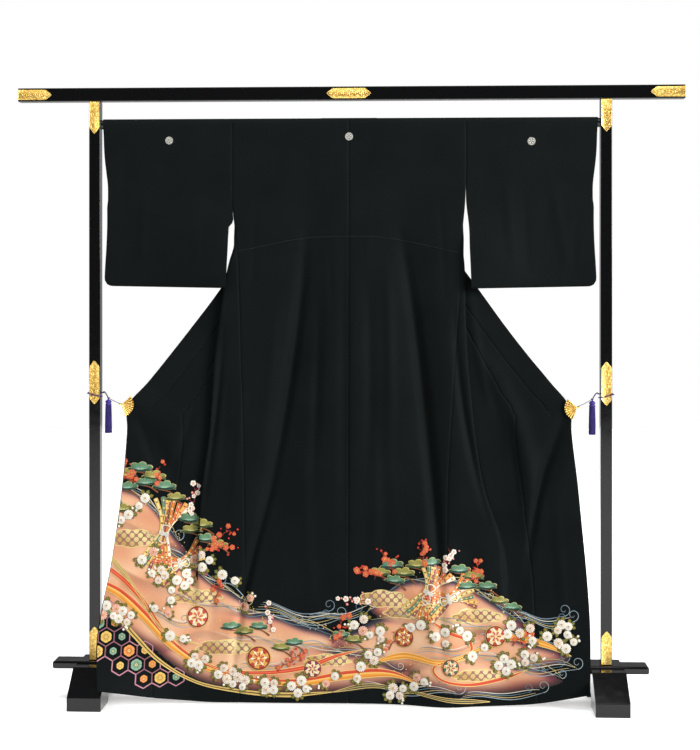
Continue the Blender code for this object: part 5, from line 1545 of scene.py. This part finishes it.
# Gilded clouds are ruled with the old repeat of interlocked circles, in brown on pale gold, and edged in gold.
clouds = Worked()
CLOUDS = rows(
    "x z half_wide half_high",
    (-0.585, 0.440, 0.060, 0.027), (-0.405, 0.285, 0.062, 0.022), (-0.330, 0.150, 0.075, 0.022),
    (-0.055, 0.118, 0.060, 0.018), (0.095, 0.282, 0.062, 0.025), (0.150, 0.248, 0.052, 0.018),
    (0.345, 0.240, 0.064, 0.021), (0.345, 0.085, 0.062, 0.017),
)


def cloud_outline(x, z, half_wide, half_high):
    """A cloud of round lobes, flatter below."""
    turn = np.linspace(0.0, 2 * pi, 73)[:-1]
    puff = 0.90 + 0.20 * np.abs(np.sin(turn * 3.5 + x * 20))
    rise = half_high * np.sin(turn) * puff * np.where(turn > pi, 0.72, 1.0)
    return np.column_stack((x + half_wide * np.cos(turn) * puff, z + rise))


def ruled_gold(middle, x, z):
    """The tint of a cloud at each place, in slanting bars of browner and paler gold."""
    return mixed("#B08C4C", "#E9D196", 0.55 + 0.45 * np.sin((x - middle[0]) * 38 + (z - middle[1]) * 55))


def within_only(route, outline):
    """The stretches of a flat route that lie inside an outline."""
    held = inside(outline, route[:, 0], route[:, 1])
    breaks = np.flatnonzero(np.diff(held.astype(int))) + 1
    parts = zip(np.split(route, breaks), np.split(held, breaks))
    return [part for part, first in parts if first[0] and len(part) > 2]


FLORET = flower(*(petal(pi * k / 2, 0.1, 1.0, 0.42, "#7A3A42", "#B8737A", 0.0001) for k in range(4)))
CLOUD_RING = 0.0078
RING = np.vstack((circle(14), circle(14)[:1])) * CLOUD_RING
for x, z, half_wide, half_high in zip(*CLOUDS.values()):
    outline = cloud_outline(x, z, half_wide, half_high)
    border = clouds.field(outline, partial(ruled_gold, (x, z)), 0.00060, 0.0080)
    gilding.stripe(np.vstack((border, border[:1])), 0.0018, "#EBD08A", 0.00085)
    for row in range(-6, 7):
        for column in range(-12, 13):
            middle = (x + column * CLOUD_RING * 1.42, z + row * CLOUD_RING * 1.42)
            if abs(middle[0] - x) > half_wide or abs(middle[1] - z) > half_high:
                continue
            if (row + column) % 2:
                for part in within_only(RING + middle, outline):
                    clouds.stripe(part, 0.0012, "#5E3F26", 0.00072)
            elif inside(outline, *middle):
                clouds.stamp(FLORET, [middle], [CLOUD_RING * 0.55], [pi / 4], 0.00070)
clouds.finish("gilded_clouds", DYED_SILK)

# Water runs off the ridges of the mist in fine lines of blue-grey, gold and white that part, cross and curl
# over.
water = Worked()
WATER = ("#93A5AC", "#BFA974", "#5F7986", "#D6D2C4", "#7F92A2", "#A89B6C")


def current(x, z, k, curls):
    """One line of water, thin at both ends, with a curl at its end."""
    run = np.linspace(0.0, 1.0, len(x))
    code = WATER[k % len(WATER)]
    wide = 0.0007 + 0.0013 * np.sin(pi * run) ** 0.7
    water.stripe(np.column_stack((x, z)), wide, code, 0.00090 + 0.00002 * (k % 6))
    if curls:
        t = np.linspace(0.0, 1.0, 30)
        size = 0.017 - 0.0022 * (k % 4)
        turn = pi * (-0.5 + 2.4 * t)
        curl = np.column_stack((np.cos(turn), np.sin(turn))) * (size * (1 - 0.80 * t))[:, None]
        water.stripe(curl + (x[-1], z[-1] + size), 0.0018 * (1 - 0.6 * t), code, 0.00094)


starts = (-0.64, -0.58, -0.50, -0.36, 0.10, 0.06, 0.20)
ends = (-0.46, -0.27, -0.02, 0.14, 0.47, 0.58, 0.57)
for number, (table, start, end) in enumerate(zip(BANKS, starts, ends)):
    for k in range(7):
        low = start + (end - start) * (0.10 * k if k < 4 else 0.42 + 0.06 * k)
        high = end - (end - start) * (0.06 * ((k * 3) % 5))
        if high - low < 0.05:
            continue
        x = np.linspace(low, high, 70)
        run = np.linspace(0.0, 1.0, 70)
        rise = 0.0045 * (k - 2.2) * np.sin(pi * run) ** 0.8 + 0.0035 * np.sin(x * 60 + k * 1.3 + number)
        z = curve_through(table, "ridge", x, "x") + 0.004 * np.sin(x * 43 + number * 1.9) + rise
        current(x, z, k + number, k % 3 == 0)
STREAMS = rows(
    "x0 z0 x1 z1 wave lines gap turns",
    (-0.250, 0.262, -0.020, 0.232, 0.012, 5, 0.0070, 1.1),
    (-0.120, 0.225, 0.060, 0.262, 0.009, 4, 0.0060, 1.0), (0.430, 0.245, 0.600, 0.232, 0.009, 5, 0.0060, 1.1),
    (0.360, 0.135, 0.610, 0.105, 0.011, 6, 0.0062, 1.3), (0.020, 0.055, 0.300, 0.045, 0.008, 4, 0.0056, 1.5),
    (0.300, 0.034, 0.520, 0.044, 0.006, 4, 0.0056, 1.2),
    (-0.300, 0.100, -0.120, 0.122, 0.008, 4, 0.0060, 1.2),
    (0.180, 0.150, 0.360, 0.168, 0.008, 4, 0.0060, 1.1),
    (-0.540, 0.250, -0.420, 0.215, 0.006, 4, 0.0055, 1.0),
)
for x0, z0, x1, z1, wave, lines, gap, turns in zip(*STREAMS.values()):
    for k in range(int(lines)):
        run = np.linspace(0.03 * k, 1.0 - 0.045 * ((k * 2) % 5), 70)
        drift = gap * (k - lines / 2) * (0.35 + 0.65 * np.sin(pi * run) ** 0.6)
        z = z0 + (z1 - z0) * run + wave * np.sin(2 * pi * turns * run + 0.25 * k) + drift
        current(x0 + (x1 - x0) * run, z, k, k % 2 == 0)
water.finish("painted_water_lines", DYED_SILK)

# Long silk streamers in orange, vermilion, black and gold sweep in from the left edge and wind through the
# mist.
streamers = Worked()
STREAMERS = (
    (
        0.011,
        "#15171A #D9B45C #15171A #D9B45C #15171A",
        "-.700,.300 -.640,.258 -.575,.188 -.500,.116 -.410,.062 -.300,.038 -.170,.028 -.040,.036",
    ),
    (
        0.024,
        "#E3C36E #DE8A2E #E89C3C #F2C26A #C8402C #D4523A #E3C36E",
        "-.700,.338 -.620,.300 -.545,.235 -.470,.160 -.380,.100 -.260,.068 "
        "-.130,.062 .000,.082 .110,.088 .200,.062",
    ),
    (
        0.013,
        "#E3C36E #C8402C #E2694C #C8402C #E3C36E",
        "-.700,.392 -.630,.352 -.560,.285 -.500,.205 -.430,.135 -.340,.094 "
        "-.230,.086 -.120,.100 -.030,.132 .040,.150",
    ),
    (
        0.009,
        "#2C3A2E #C9B068 #2C3A2E",
        "-.700,.430 -.650,.400 -.600,.345 -.555,.280 -.520,.225 -.470,.185 -.400,.160",
    ),
    (
        0.016,
        "#E3C36E #DE8A2E #F0B458 #DE8A2E #E3C36E",
        ".050,.110 .150,.136 .250,.122 .340,.150 .430,.186 .520,.172 .595,.142",
    ),
    (
        0.010,
        "#E3C36E #C8402C #D4523A #E3C36E",
        ".205,.245 .262,.205 .325,.176 .318,.138 .232,.112 .250,.078 .330,.064 .420,.080 .480,.104",
    ),
    (0.011, "#A6935A #2A2A1E #A6935A #2A2A1E #A6935A", "-.040,.036 .060,.054 .170,.042 .280,.024 .380,.018"),
)
for wide, shades, route in STREAMERS:
    places = [tuple(float(value) for value in place.split(",")) for place in route.split()]
    line = smooth_route(places, 0.006)
    run = np.linspace(0.0, 1.0, len(line))
    spread = wide * (0.80 + 0.20 * np.sin(3 * pi * run)) * np.clip((1 - run) / 0.14, 0.0, 1.0) ** 0.7
    if places[0][0] > -0.69:
        spread *= np.clip(run / 0.14, 0.0, 1.0) ** 0.7
    crisp = [code for code in shades.split() for _ in range(2)][1:-1]
    streamers.stripe(line, spread, None, 0.00120, crisp)
    ahead = np.gradient(line, axis=0)
    over = np.stack((-ahead[:, 1], ahead[:, 0]), -1) / np.linalg.norm(ahead, axis=1)[:, None]
    for edge in (-0.5, 0.5):
        gilding.stripe(line + over * (spread * edge)[:, None], 0.0013, "#EBCB80", 0.00135)
streamers.finish("painted_streamers", DYED_SILK)

# Two gift bundles of folded silk strips, each strip in its own colours and dotted with small flowers, are tied
# round the middle with a white cord.
bundles = Worked()
STRIPS = (
    ("#C8402C", "#E07A55", "#F2D9A8"),
    ("#D9A648", "#F0CE84", "#A8402C"),
    ("#E9DCC0", "#FBF3E2", "#C8604A"),
    ("#B5532E", "#DE8A2E", "#F6E3B4"),
    ("#34594A", "#6E9678", "#E8C878"),
    ("#E08A3C", "#F4BC78", "#8A2F2A"),
    ("#6A2E3C", "#A85A60", "#E8C878"),
    ("#D8B060", "#F3DCA0", "#5A6A3C"),
)
DOT = flower(*(petal(2 * pi * k / 5, 0.05, 1.0, 0.48, "#FFFFFF", "#FFFFFF", 0.0001) for k in range(5)))
WHITE_CORD = ("#B9AE98", "#FFFAF0", "#B9AE98")
BUNDLES = ((-0.500, 0.455, 1.30, 0.098), (-0.455, 0.375, 0.30, 0.070))
BUNDLES += ((0.215, 0.305, 1.15, 0.074), (0.270, 0.290, 0.35, 0.070))
for x, z, turned, reach in BUNDLES:
    for k in range(8):
        fan = k / 7 - 0.5
        t = np.linspace(-1.0, 1.0, 41)
        along = t * reach * (1 - 0.22 * abs(fan) + 0.05 * sin(k * 2.3))
        side = fan * (0.020 + 0.072 * np.abs(t) ** 1.4) + 0.004 * np.sin(4 * t + k * 1.3)
        line = turned_flat(np.column_stack((along, side)), turned, middle=(x, z))
        dark, light, mark = STRIPS[(k * 3 + int(reach * 1000)) % 8]
        wide = 0.0044 + 0.0072 * np.abs(t) ** 0.8
        height = 0.00150 + 0.00004 * k
        strip = ("#E3C36E", dark, dark, light, light, light, dark, dark, "#E3C36E")
        bundles.stripe(line, wide, None, height, strip)
        marks = line[[2, 6, 10, 14, 26, 30, 34, 38]]
        tinted = (*DOT[:3], np.tile(tint(mark), (len(DOT[0]), 1)))
        bundles.stamp(tinted, marks, np.full(8, 0.0024), np.arange(8) * 0.7, height + 0.00030)
    for shift in (-0.0035, 0.0, 0.0035):
        side = np.linspace(-0.014, 0.014, 9)
        line = turned_flat(np.column_stack((np.full(9, shift), side)), turned, middle=(x, z))
        bundles.stripe(line, 0.0030, None, 0.00260, WHITE_CORD)
    for way in (-1, 1):
        t = np.linspace(0.0, 1.0, 26)
        loop = np.column_stack((way * 0.024 * np.sin(pi * t), 0.011 * np.sin(2 * pi * t) - 0.002))
        bundles.stripe(turned_flat(loop, turned, middle=(x, z)), 0.0026, None, 0.00280, WHITE_CORD)
bundles.finish("embroidered_gift_bundles", SILK_FLOSS)

# Pine boughs: flat-bottomed tufts with scalloped crowns, teal and olive, on brown twigs. Each is edged in gold
# and picked out with fine pale needles.
pines = Worked()
PINES = rows(
    "x z size tone",
    (-0.640, 0.596, 0.030, 0), (-0.606, 0.612, 0.032, 1), (-0.565, 0.628, 0.034, 0),
    (-0.528, 0.606, 0.032, 1), (-0.600, 0.578, 0.030, 0), (-0.550, 0.590, 0.030, 0),
    (-0.500, 0.578, 0.032, 0), (-0.640, 0.535, 0.030, 0), (-0.612, 0.520, 0.028, 1),
    (-0.470, 0.548, 0.028, 1), (-0.430, 0.490, 0.034, 0), (-0.396, 0.478, 0.030, 1),
    (-0.425, 0.462, 0.030, 1), (-0.385, 0.440, 0.030, 0), (-0.350, 0.425, 0.026, 1),
    (-0.315, 0.205, 0.028, 0), (-0.280, 0.192, 0.028, 1), (-0.240, 0.206, 0.026, 0),
    (-0.180, 0.150, 0.026, 1), (-0.145, 0.164, 0.026, 0), (-0.020, 0.185, 0.026, 0), (0.015, 0.172, 0.026, 1),
    (0.085, 0.352, 0.030, 1), (0.118, 0.372, 0.032, 0), (0.150, 0.352, 0.030, 1), (0.125, 0.332, 0.028, 0),
    (0.185, 0.374, 0.030, 1), (0.222, 0.380, 0.028, 0), (0.300, 0.362, 0.030, 0), (0.335, 0.345, 0.030, 1),
    (0.372, 0.318, 0.028, 0), (0.320, 0.318, 0.028, 0), (0.405, 0.280, 0.026, 1), (0.440, 0.262, 0.026, 0),
)
TUFT_SIDES = 56
TUFT_RINGS = ((0.0, 0.0007), (0.25, 0.0007), (0.55, 0.0006), (0.80, 0.0005))
TUFT_RINGS += ((0.95, 0.0004), (0.96, 0.0002), (1.0, 0.0))
TWIG_BENDS = ((1.1, -0.80), (0.4, -0.32), (-0.5, -0.14))


def tuft(size, tone):
    """One tuft, scalloped and round above and nearly flat below, as rings from its root outwards."""
    turn = np.linspace(0.0, 2 * pi, TUFT_SIDES + 1)[:-1]
    upper = np.sin(turn) > 0.0
    lobes = 0.76 + 0.30 * np.abs(np.sin(turn * 3.5)) ** 0.8
    edge = np.column_stack((np.cos(turn) * lobes, np.sin(turn) * np.where(upper, 0.62 * lobes, 0.16)))
    flat = np.vstack([np.zeros((1, 2))] + [edge * share for share, _ in TUFT_RINGS[1:]]) * size
    heights = np.concatenate([np.full(TUFT_SIDES if share else 1, rise) for share, rise in TUFT_RINGS])
    dark, light = (("#12332A", "#5F8C62"), ("#26401F", "#9C9440"))[tone]
    tints = mixed(dark, light, np.clip(flat[:, 1] / size / 0.60, 0.0, 1.0) ** 0.8)
    tints[-2 * TUFT_SIDES :] = tint("#BDAE78")
    faces = [(0, 1 + j, 1 + (j + 1) % TUFT_SIDES) for j in range(TUFT_SIDES)]
    return flat, heights, faces + quads(len(TUFT_RINGS) - 1, TUFT_SIDES, start=1, turned=True), tints


for k, (x, z, size, tone) in enumerate(zip(*PINES.values())):
    twig = smooth_route([(x + size * right, z + size * up) for right, up in TWIG_BENDS], 0.004)
    pines.stripe(twig, np.linspace(0.0044, 0.0014, len(twig)), "#7A4A2C", 0.00150)
    pines.stamp(tuft(size, int(tone)), [(x, z)], [1.0], [0.10 * sin(k * 1.7)], 0.00165 + 0.00004 * (k % 5))
    for angle in np.linspace(0.10 * pi, 0.90 * pi, 13):
        root = np.array((x + 0.10 * size * cos(angle), z + 0.02 * size))
        tip = np.array((x + 0.78 * size * cos(angle), z + 0.48 * size * sin(angle)))
        needle = np.array([root * (1 - run) + tip * run for run in np.linspace(0.0, 1.0, 6)])
        pines.stripe(needle, np.linspace(0.0010, 0.0004, 6), "#CFC67E" if tone else "#9CC4A6", 0.00260)
pines.finish("embroidered_pine_boughs", SILK_FLOSS)


PETAL_RINGS = ((1.0, 0.42, 0.150, 0, 0.0007), (0.70, 0.24, 0.125, 3, 0.0013), (0.42, 0.08, 0.10, 6, 0.0018))


def round_flower(eye, light, shade, deep, count=16):
    """A chrysanthemum seen from the front: three rings of narrow petals round a gold eye."""
    parts = [disc(0.90, deep, 0.0)]
    for far, near, wide, fewer, rise in PETAL_RINGS:
        number = count - fewer
        turns = (np.arange(number) + 0.5 * (number % 2)) * 2 * pi / number
        parts += [petal(turn, near, far, wide, shade, light, rise) for turn in turns]
    return flower(*parts, disc(0.15, eye, 0.0020), disc(0.07, "#8C6A1E", 0.0021))


def five_petals(light, shade):
    """A plum blossom: five round petals, a gold eye and stamens."""
    parts = [petal(pi / 2 + 2 * pi * k / 5, 0.06, 1.0, 0.46, shade, light, 0.0008) for k in range(5)]
    parts += [disc(0.18, "#E8C04A", 0.0014)]
    parts += [disc(0.06, "#F2D873", 0.0013, 0.44 * place, 5) for place in circle(10)]
    return flower(*parts)


def leaf(dark, light):
    """A lobed leaf, halved by its vein."""
    outline = np.array(((0, 0), (0.25, 0.2), (0.38, 0.46), (0.54, 0.28), (0.7, 0.42), (0.82, 0.18), (1, 0)))
    flat = np.vstack((outline, outline[1:-1][::-1] * (1, -1), ((0.3, 0.0), (0.6, 0.0))))
    faces = [(0, 1, 2, 12), (2, 3, 4, 13, 12), (4, 5, 6, 13)]
    faces += [(0, 12, 10, 11), (12, 13, 8, 9, 10), (13, 6, 7, 8)]
    tints = np.array([tint(light)] * 7 + [tint(dark)] * 5 + [tint("#857A34")] * 2)
    return flat, np.full(len(flat), 0.0004), faces, tints


# Sprays of plum in coral and white: angular twigs with open flowers and round buds.
sprays = Worked()
CORAL = five_petals("#DC6246", "#9E2C1E")
WHITE_PLUM = five_petals("#FBF4EA", "#E5AFA2")
for x0, z0, reach, lean_to, blossoms, form, bud in (
    (-0.590, 0.610, 0.075, 1.75, 8, CORAL, "#B93A28"),
    (-0.560, 0.600, 0.055, 2.6, 5, CORAL, "#B93A28"),
    (-0.520, 0.590, 0.040, 1.2, 4, CORAL, "#B93A28"),
    (-0.430, 0.500, 0.075, 1.10, 8, WHITE_PLUM, "#E89A90"),
    (-0.400, 0.410, 0.075, -0.10, 6, CORAL, "#B93A28"),
    (-0.375, 0.425, 0.060, 0.40, 6, CORAL, "#B93A28"),
    (-0.355, 0.265, 0.070, 1.2, 6, CORAL, "#B93A28"),
    (-0.200, 0.195, 0.060, 1.5, 5, WHITE_PLUM, "#E89A90"),
    (-0.190, 0.090, 0.080, 0.35, 6, CORAL, "#B93A28"),
    (-0.040, 0.165, 0.070, 0.9, 5, CORAL, "#B93A28"),
    (0.100, 0.350, 0.075, 2.7, 8, CORAL, "#B93A28"),
    (0.130, 0.360, 0.055, 2.0, 6, CORAL, "#B93A28"),
    (0.205, 0.372, 0.062, 1.35, 7, CORAL, "#B93A28"),
    (0.250, 0.360, 0.058, 0.85, 6, WHITE_PLUM, "#E89A90"),
    (0.345, 0.322, 0.055, 1.25, 6, CORAL, "#B93A28"),
    (0.060, 0.285, 0.070, 2.9, 6, WHITE_PLUM, "#E89A90"),
    (0.110, 0.150, 0.060, 0.7, 5, CORAL, "#B93A28"),
    (0.440, 0.165, 0.060, 0.5, 5, CORAL, "#B93A28"),
):
    bends = [(x0, z0)]
    direction = lean_to
    for k in range(4):
        direction += 0.45 * (-1) ** k
        bends.append((bends[-1][0] + reach * 0.3 * cos(direction), bends[-1][1] + reach * 0.3 * sin(direction)))
    twig = smooth_route(bends, 0.003)
    sprays.stripe(twig, np.linspace(0.0032, 0.0010, len(twig)), "#8A3A2A", 0.00200)
    for k in range(2, len(twig) - 4, 6):
        way = (0.014 * cos(lean_to + k), 0.014 * sin(lean_to + k))
        side_twig = twig[k] + np.outer(np.linspace(0.0, 1.0, 5), way)
        sprays.stripe(side_twig, np.linspace(0.0018, 0.0008, 5), "#8A3A2A", 0.00200)
    along = twig[np.linspace(len(twig) * 0.15, len(twig) - 1, blossoms).astype(int)]
    strays = random.normal(0.0, 0.0065, (blossoms, 2))
    sizes = random.uniform(0.0052, 0.0088, blossoms)
    sprays.stamp(form, along + strays, sizes, random.uniform(0.0, 2 * pi, blossoms), 0.00220)
    buds = twig[random.integers(len(twig) // 3, len(twig), 8)] + random.normal(0.0, 0.010, (8, 2))
    sprays.stamp(disc(1.0, bud, 0.0006, sides=9), buds, random.uniform(0.0020, 0.0034, 8), np.zeros(8), 0.00215)
sprays.finish("embroidered_plum_sprays", SILK_FLOSS)

# Balls wound in coloured thread lie among the flowers: gores of red, cream and gold crossed by a star.
balls = Worked()


def thread_ball(first, second, star):
    """A ball of wound thread, seen from the front: twelve gores, bands, two crossing stars and a rim."""
    parts = [disc(1.06, "#D9B45C", 0.0, sides=40)]
    for k in range(12):
        turn = np.linspace(2 * pi * k / 12, 2 * pi * (k + 1) / 12, 6)
        rim = np.column_stack((np.cos(turn), np.sin(turn)))
        for near, far, code, rise in (
            (0.0, 0.50, second if k % 2 else first, 0.0022),
            (0.50, 0.58, "#E8C878", 0.0021),
            (0.58, 0.88, first if k % 2 else second, 0.0018),
            (0.88, 1.00, "#7A2A28", 0.0006),
        ):
            flat = np.vstack((rim * near, rim * far))
            parts.append((flat, np.repeat((rise, rise - 0.0002), 6), quads(2, 6), np.tile(tint(code), (12, 1))))
    parts += [petal(2 * pi * k / 6, 0.04, 0.84, 0.13, star, "#FBF2DC", 0.0030) for k in range(6)]
    parts += [petal(2 * pi * (k + 0.5) / 6, 0.04, 0.62, 0.11, "#B5382A", "#E8906A", 0.0032) for k in range(6)]
    return flower(*parts, disc(0.13, "#F0D48C", 0.0036))


for x, z, size, codes in (
    (-0.405, 0.235, 0.028, ("#C04A34", "#E3D2AC", "#D9B45C")),
    (-0.240, 0.125, 0.031, ("#B5402E", "#D9A24C", "#E8C04A")),
    (-0.095, 0.098, 0.023, ("#7A3448", "#E3D2AC", "#D9B45C")),
    (0.150, 0.185, 0.025, ("#C77A34", "#8C332C", "#E8C04A")),
    (0.395, 0.190, 0.027, ("#B5402E", "#E3D2AC", "#D9B45C")),
    (0.275, 0.110, 0.022, ("#35604F", "#DDAA84", "#E8C04A")),
):
    balls.stamp(thread_ball(*codes), [(x, z)], [size], [0.3 + x], 0.00190)
balls.finish("embroidered_thread_balls", SILK_FLOSS)

# Clusters of white and blush chrysanthemums with olive leaves run over everything, thickest where the banks
# step down.
leaves = Worked()
garlands = Worked()
FLOWERS = (
    round_flower("#D9A83C", "#F4EEE0", "#9E9484", "#6E665A"),
    round_flower("#D9A83C", "#F3E6D4", "#B99A86", "#7E6658", 14),
    round_flower("#D09238", "#F0BFA4", "#B96E5C", "#854A40", 14),
)
LEAVES = (leaf("#2E3212", "#5F5B20"), leaf("#463E12", "#7C6C2A"), leaf("#1E331C", "#476034"))
for route, clusters in (
    (((-0.605, 0.500), (-0.560, 0.500), (-0.560, 0.540)), 2),
    (((-0.545, 0.395), (-0.500, 0.335), (-0.470, 0.290), (-0.440, 0.330)), 4),
    (((-0.395, 0.385), (-0.345, 0.345), (-0.300, 0.330), (-0.270, 0.275)), 3),
    (((-0.500, 0.250), (-0.470, 0.205), (-0.440, 0.150), (-0.390, 0.105), (-0.330, 0.085)), 4),
    (((-0.640, 0.250), (-0.600, 0.235)), 2),
    (((-0.290, 0.062), (-0.210, 0.050), (-0.130, 0.048), (-0.050, 0.066)), 4),
    (((0.030, 0.090), (0.070, 0.140), (0.080, 0.190)), 3),
    (((0.030, 0.215), (0.115, 0.215), (0.180, 0.215)), 2),
    (((0.250, 0.190), (0.300, 0.205), (0.350, 0.150)), 3),
    (((0.440, 0.205), (0.490, 0.195), (0.545, 0.185)), 3),
    (((0.190, 0.072), (0.130, 0.040)), 2),
    (((0.420, 0.115), (0.480, 0.135)), 2),
    (((0.575, 0.215), (0.590, 0.170)), 2),
):
    line = smooth_route(route, 0.004)
    for centre in line[np.linspace(0, len(line) - 1, clusters).astype(int)]:
        count = int(random.integers(2, 5))
        turns = random.uniform(0.0, 2 * pi) + 2 * pi * np.arange(count) / count
        sizes = random.uniform(0.0098, 0.0142, count)
        away = 0.012 + 0.012 * random.random((count, 1))
        middles = centre + np.column_stack((np.cos(turns), np.sin(turns) * 0.8)) * away
        kinds = random.choice(3, count, p=(0.58, 0.27, 0.15))
        for k, (middle, size, turn) in enumerate(zip(middles, sizes, turns)):
            for step in (-0.7, 0.1, 0.9):
                way = turn + step
                root = middle + np.array((cos(way), sin(way))) * size * 0.70
                leaves.stamp(LEAVES[(k + int(step * 10)) % 3], [root], [size * 1.12], [way], 0.00220)
            garlands.stamp(FLOWERS[kinds[k]], [middle], [size], [turn], 0.00260 + 0.00012 * k)
        tip = centre + (0.030 * cos(turns[0]), 0.026 * sin(turns[0]))
        for k in range(3):
            place = tip + random.normal(0.0, 0.007, 2)
            leaves.stripe(np.array((centre, (centre + place) / 2, place)), 0.0012, "#6E6A2A", 0.00218)
            garlands.stamp(disc(1.0, "#F3EBDD", 0.0006, sides=8), [place], [0.0032], [0.0], 0.00240)
leaves.finish("embroidered_leaves", SILK_FLOSS)
garlands.finish("embroidered_chrysanthemums", SILK_FLOSS)
gilding.finish("couched_gold_outlines", GOLD_LEAF)

# Three small crests are reserved in white, one at the middle of the back and one on each sleeve, and drawn in
# ink. Each is a plain flower of five petals in a thin ring.
crests = Worked()
CREST_RADIUS = 0.0104


def band(near, far, code, rise, sides=36):
    """A flat ring of one colour."""
    rims = np.vstack((circle(sides) * near, circle(sides) * far))
    return rims, np.full(2 * sides, rise), quads(2, sides, turned=True), np.tile(tint(code), (2 * sides, 1))


CREST = flower(
    band(0.98, 1.16, "#050707", 0.0),
    disc(1.0, "#DAD7CC", 0.0, sides=36),
    band(0.82, 0.90, "#101414", 0.00004),
    *(petal(pi / 2 + 2 * pi * k / 5, 0.06, 0.76, 0.36, "#101414", "#101414", 0.00008) for k in range(5)),
    *(petal(pi / 2 + 2 * pi * k / 5, 0.24, 0.68, 0.19, "#DAD7CC", "#DAD7CC", 0.00016) for k in range(5)),
    disc(0.15, "#DAD7CC", 0.00024),
)
for side, x, z in ((-1, -0.490, 1.523), (0, 0.001, 1.532), (1, 0.494, 1.517)):
    flat, heights, faces, tints = CREST
    placed = []
    for (across, up), height in zip(flat * CREST_RADIUS + (x, z), heights + 0.0004):
        if side:
            fall = QUARTER + RAIL_HEIGHT - up
            inner, outer = (curve_through(SLEEVE, column, fall) for column in ("inner", "outer"))
            share = (abs(across) - inner) / (outer - inner)
            depth = sleeve_row(side, fall, -1.0, np.array([share]))[0][1] - WALL / 2 - height
            placed.append((across, depth, up))
        else:
            placed.append(on_back(across, up, height))
    crests.add(np.array(placed), faces, tints)
crests.finish("ink_crests", DYED_SILK)

# A plain white studio: a wide pale floor that runs out into the light, with soft boxes at both sides, behind
# and overhead.
FLOOR_RADIUS = 9.0
WHITE = (1.0, 1.0, 1.0, 1.0)
even = {"Roughness": 0.9, "Specular IOR Level": 0.1, "Emission Color": WHITE, "Emission Strength": 0.25}
pale, put, shader, place = new_material("Matte white studio floor", even)
mottle = put("ShaderNodeTexNoise", {"Vector": place, "Scale": 3.0, "Detail": 3.0})
put("ShaderNodeValToRGB", {"Fac": mottle}, stops=((0.3, "#F7F7F7"), (0.7, "#FBFBFB")), to=shader["Base Color"])
rim = np.column_stack((circle(96) * FLOOR_RADIUS, np.zeros(96)))
floor = new_piece("studio_floor", rim, [tuple(range(96))], [pale])
# the floor's own bounce would flatten the folds
floor.visible_diffuse = False

sky = bpy.data.worlds.new("Soft white room")
bpy.context.scene.world = sky
sky.use_nodes = True
sky.node_tree.nodes.clear()
put = partial(add_node, sky.node_tree)
seen = put("ShaderNodeBackground", {"Color": WHITE, "Strength": 1.0})
way = put("ShaderNodeSeparateXYZ", {0: put("ShaderNodeTexCoord").outputs["Generated"]}).outputs
behind = put("ShaderNodeMapRange", {"Value": way["Y"], "From Min": 0.10, "From Max": 0.50})
low = put("ShaderNodeMapRange", {"Value": way["Z"], "From Min": 0.24, "From Max": 0.14})
wall = put("ShaderNodeMath", {0: behind, 1: low}, operation="MULTIPLY")
strength = put("ShaderNodeMapRange", {"Value": wall, "To Min": 0.13, "To Max": 0.52})
fill = put("ShaderNodeBackground", {"Color": WHITE, "Strength": strength})
to_camera = put("ShaderNodeLightPath").outputs["Is Camera Ray"]
either = put("ShaderNodeMixShader", {0: to_camera, 1: fill, 2: seen})
put("ShaderNodeOutputWorld", {"Surface": either})
for label, place, aim, wide, power in (
    ("Left soft box", (-3.2, -3.0, 2.6), (0.0, 0.0, 0.9), 1.6, 50.0),
    ("Right soft box", (8.0, -5.0, 3.4), (0.0, 0.0, 0.9), 3.9, 1480.0),
    ("Overhead soft box", (0.0, -1.5, 4.0), (0.0, 0.0, 0.8), 2.6, 50.0),
    ("Soft box behind", (0.6, 3.4, 2.4), (0.0, 0.0, 0.9), 2.2, 60.0),
):
    box = bpy.data.lights.new(label, "AREA")
    box.size = wide
    box.energy = power
    lamp = bpy.data.objects.new(label, box)
    lamp.location = place
    lamp.visible_camera = False
    lamp.visible_glossy = label != "Soft box behind"
    lamp.rotation_euler = (Vector(aim) - Vector(place)).to_track_quat("-Z", "Y").to_euler()
    bpy.context.scene.collection.objects.link(lamp)
# A wide soft light straight overhead whitens the floor and hardly touches the cloth, which hangs upright.
above = bpy.data.lights.new("Ceiling light", "SUN")
above.energy = 2.6
above.angle = radians(50)
lamp = bpy.data.objects.new("Ceiling light", above)
lamp.visible_glossy = False
bpy.context.scene.collection.objects.link(lamp)
bpy.context.scene.view_settings.view_transform = "Standard"
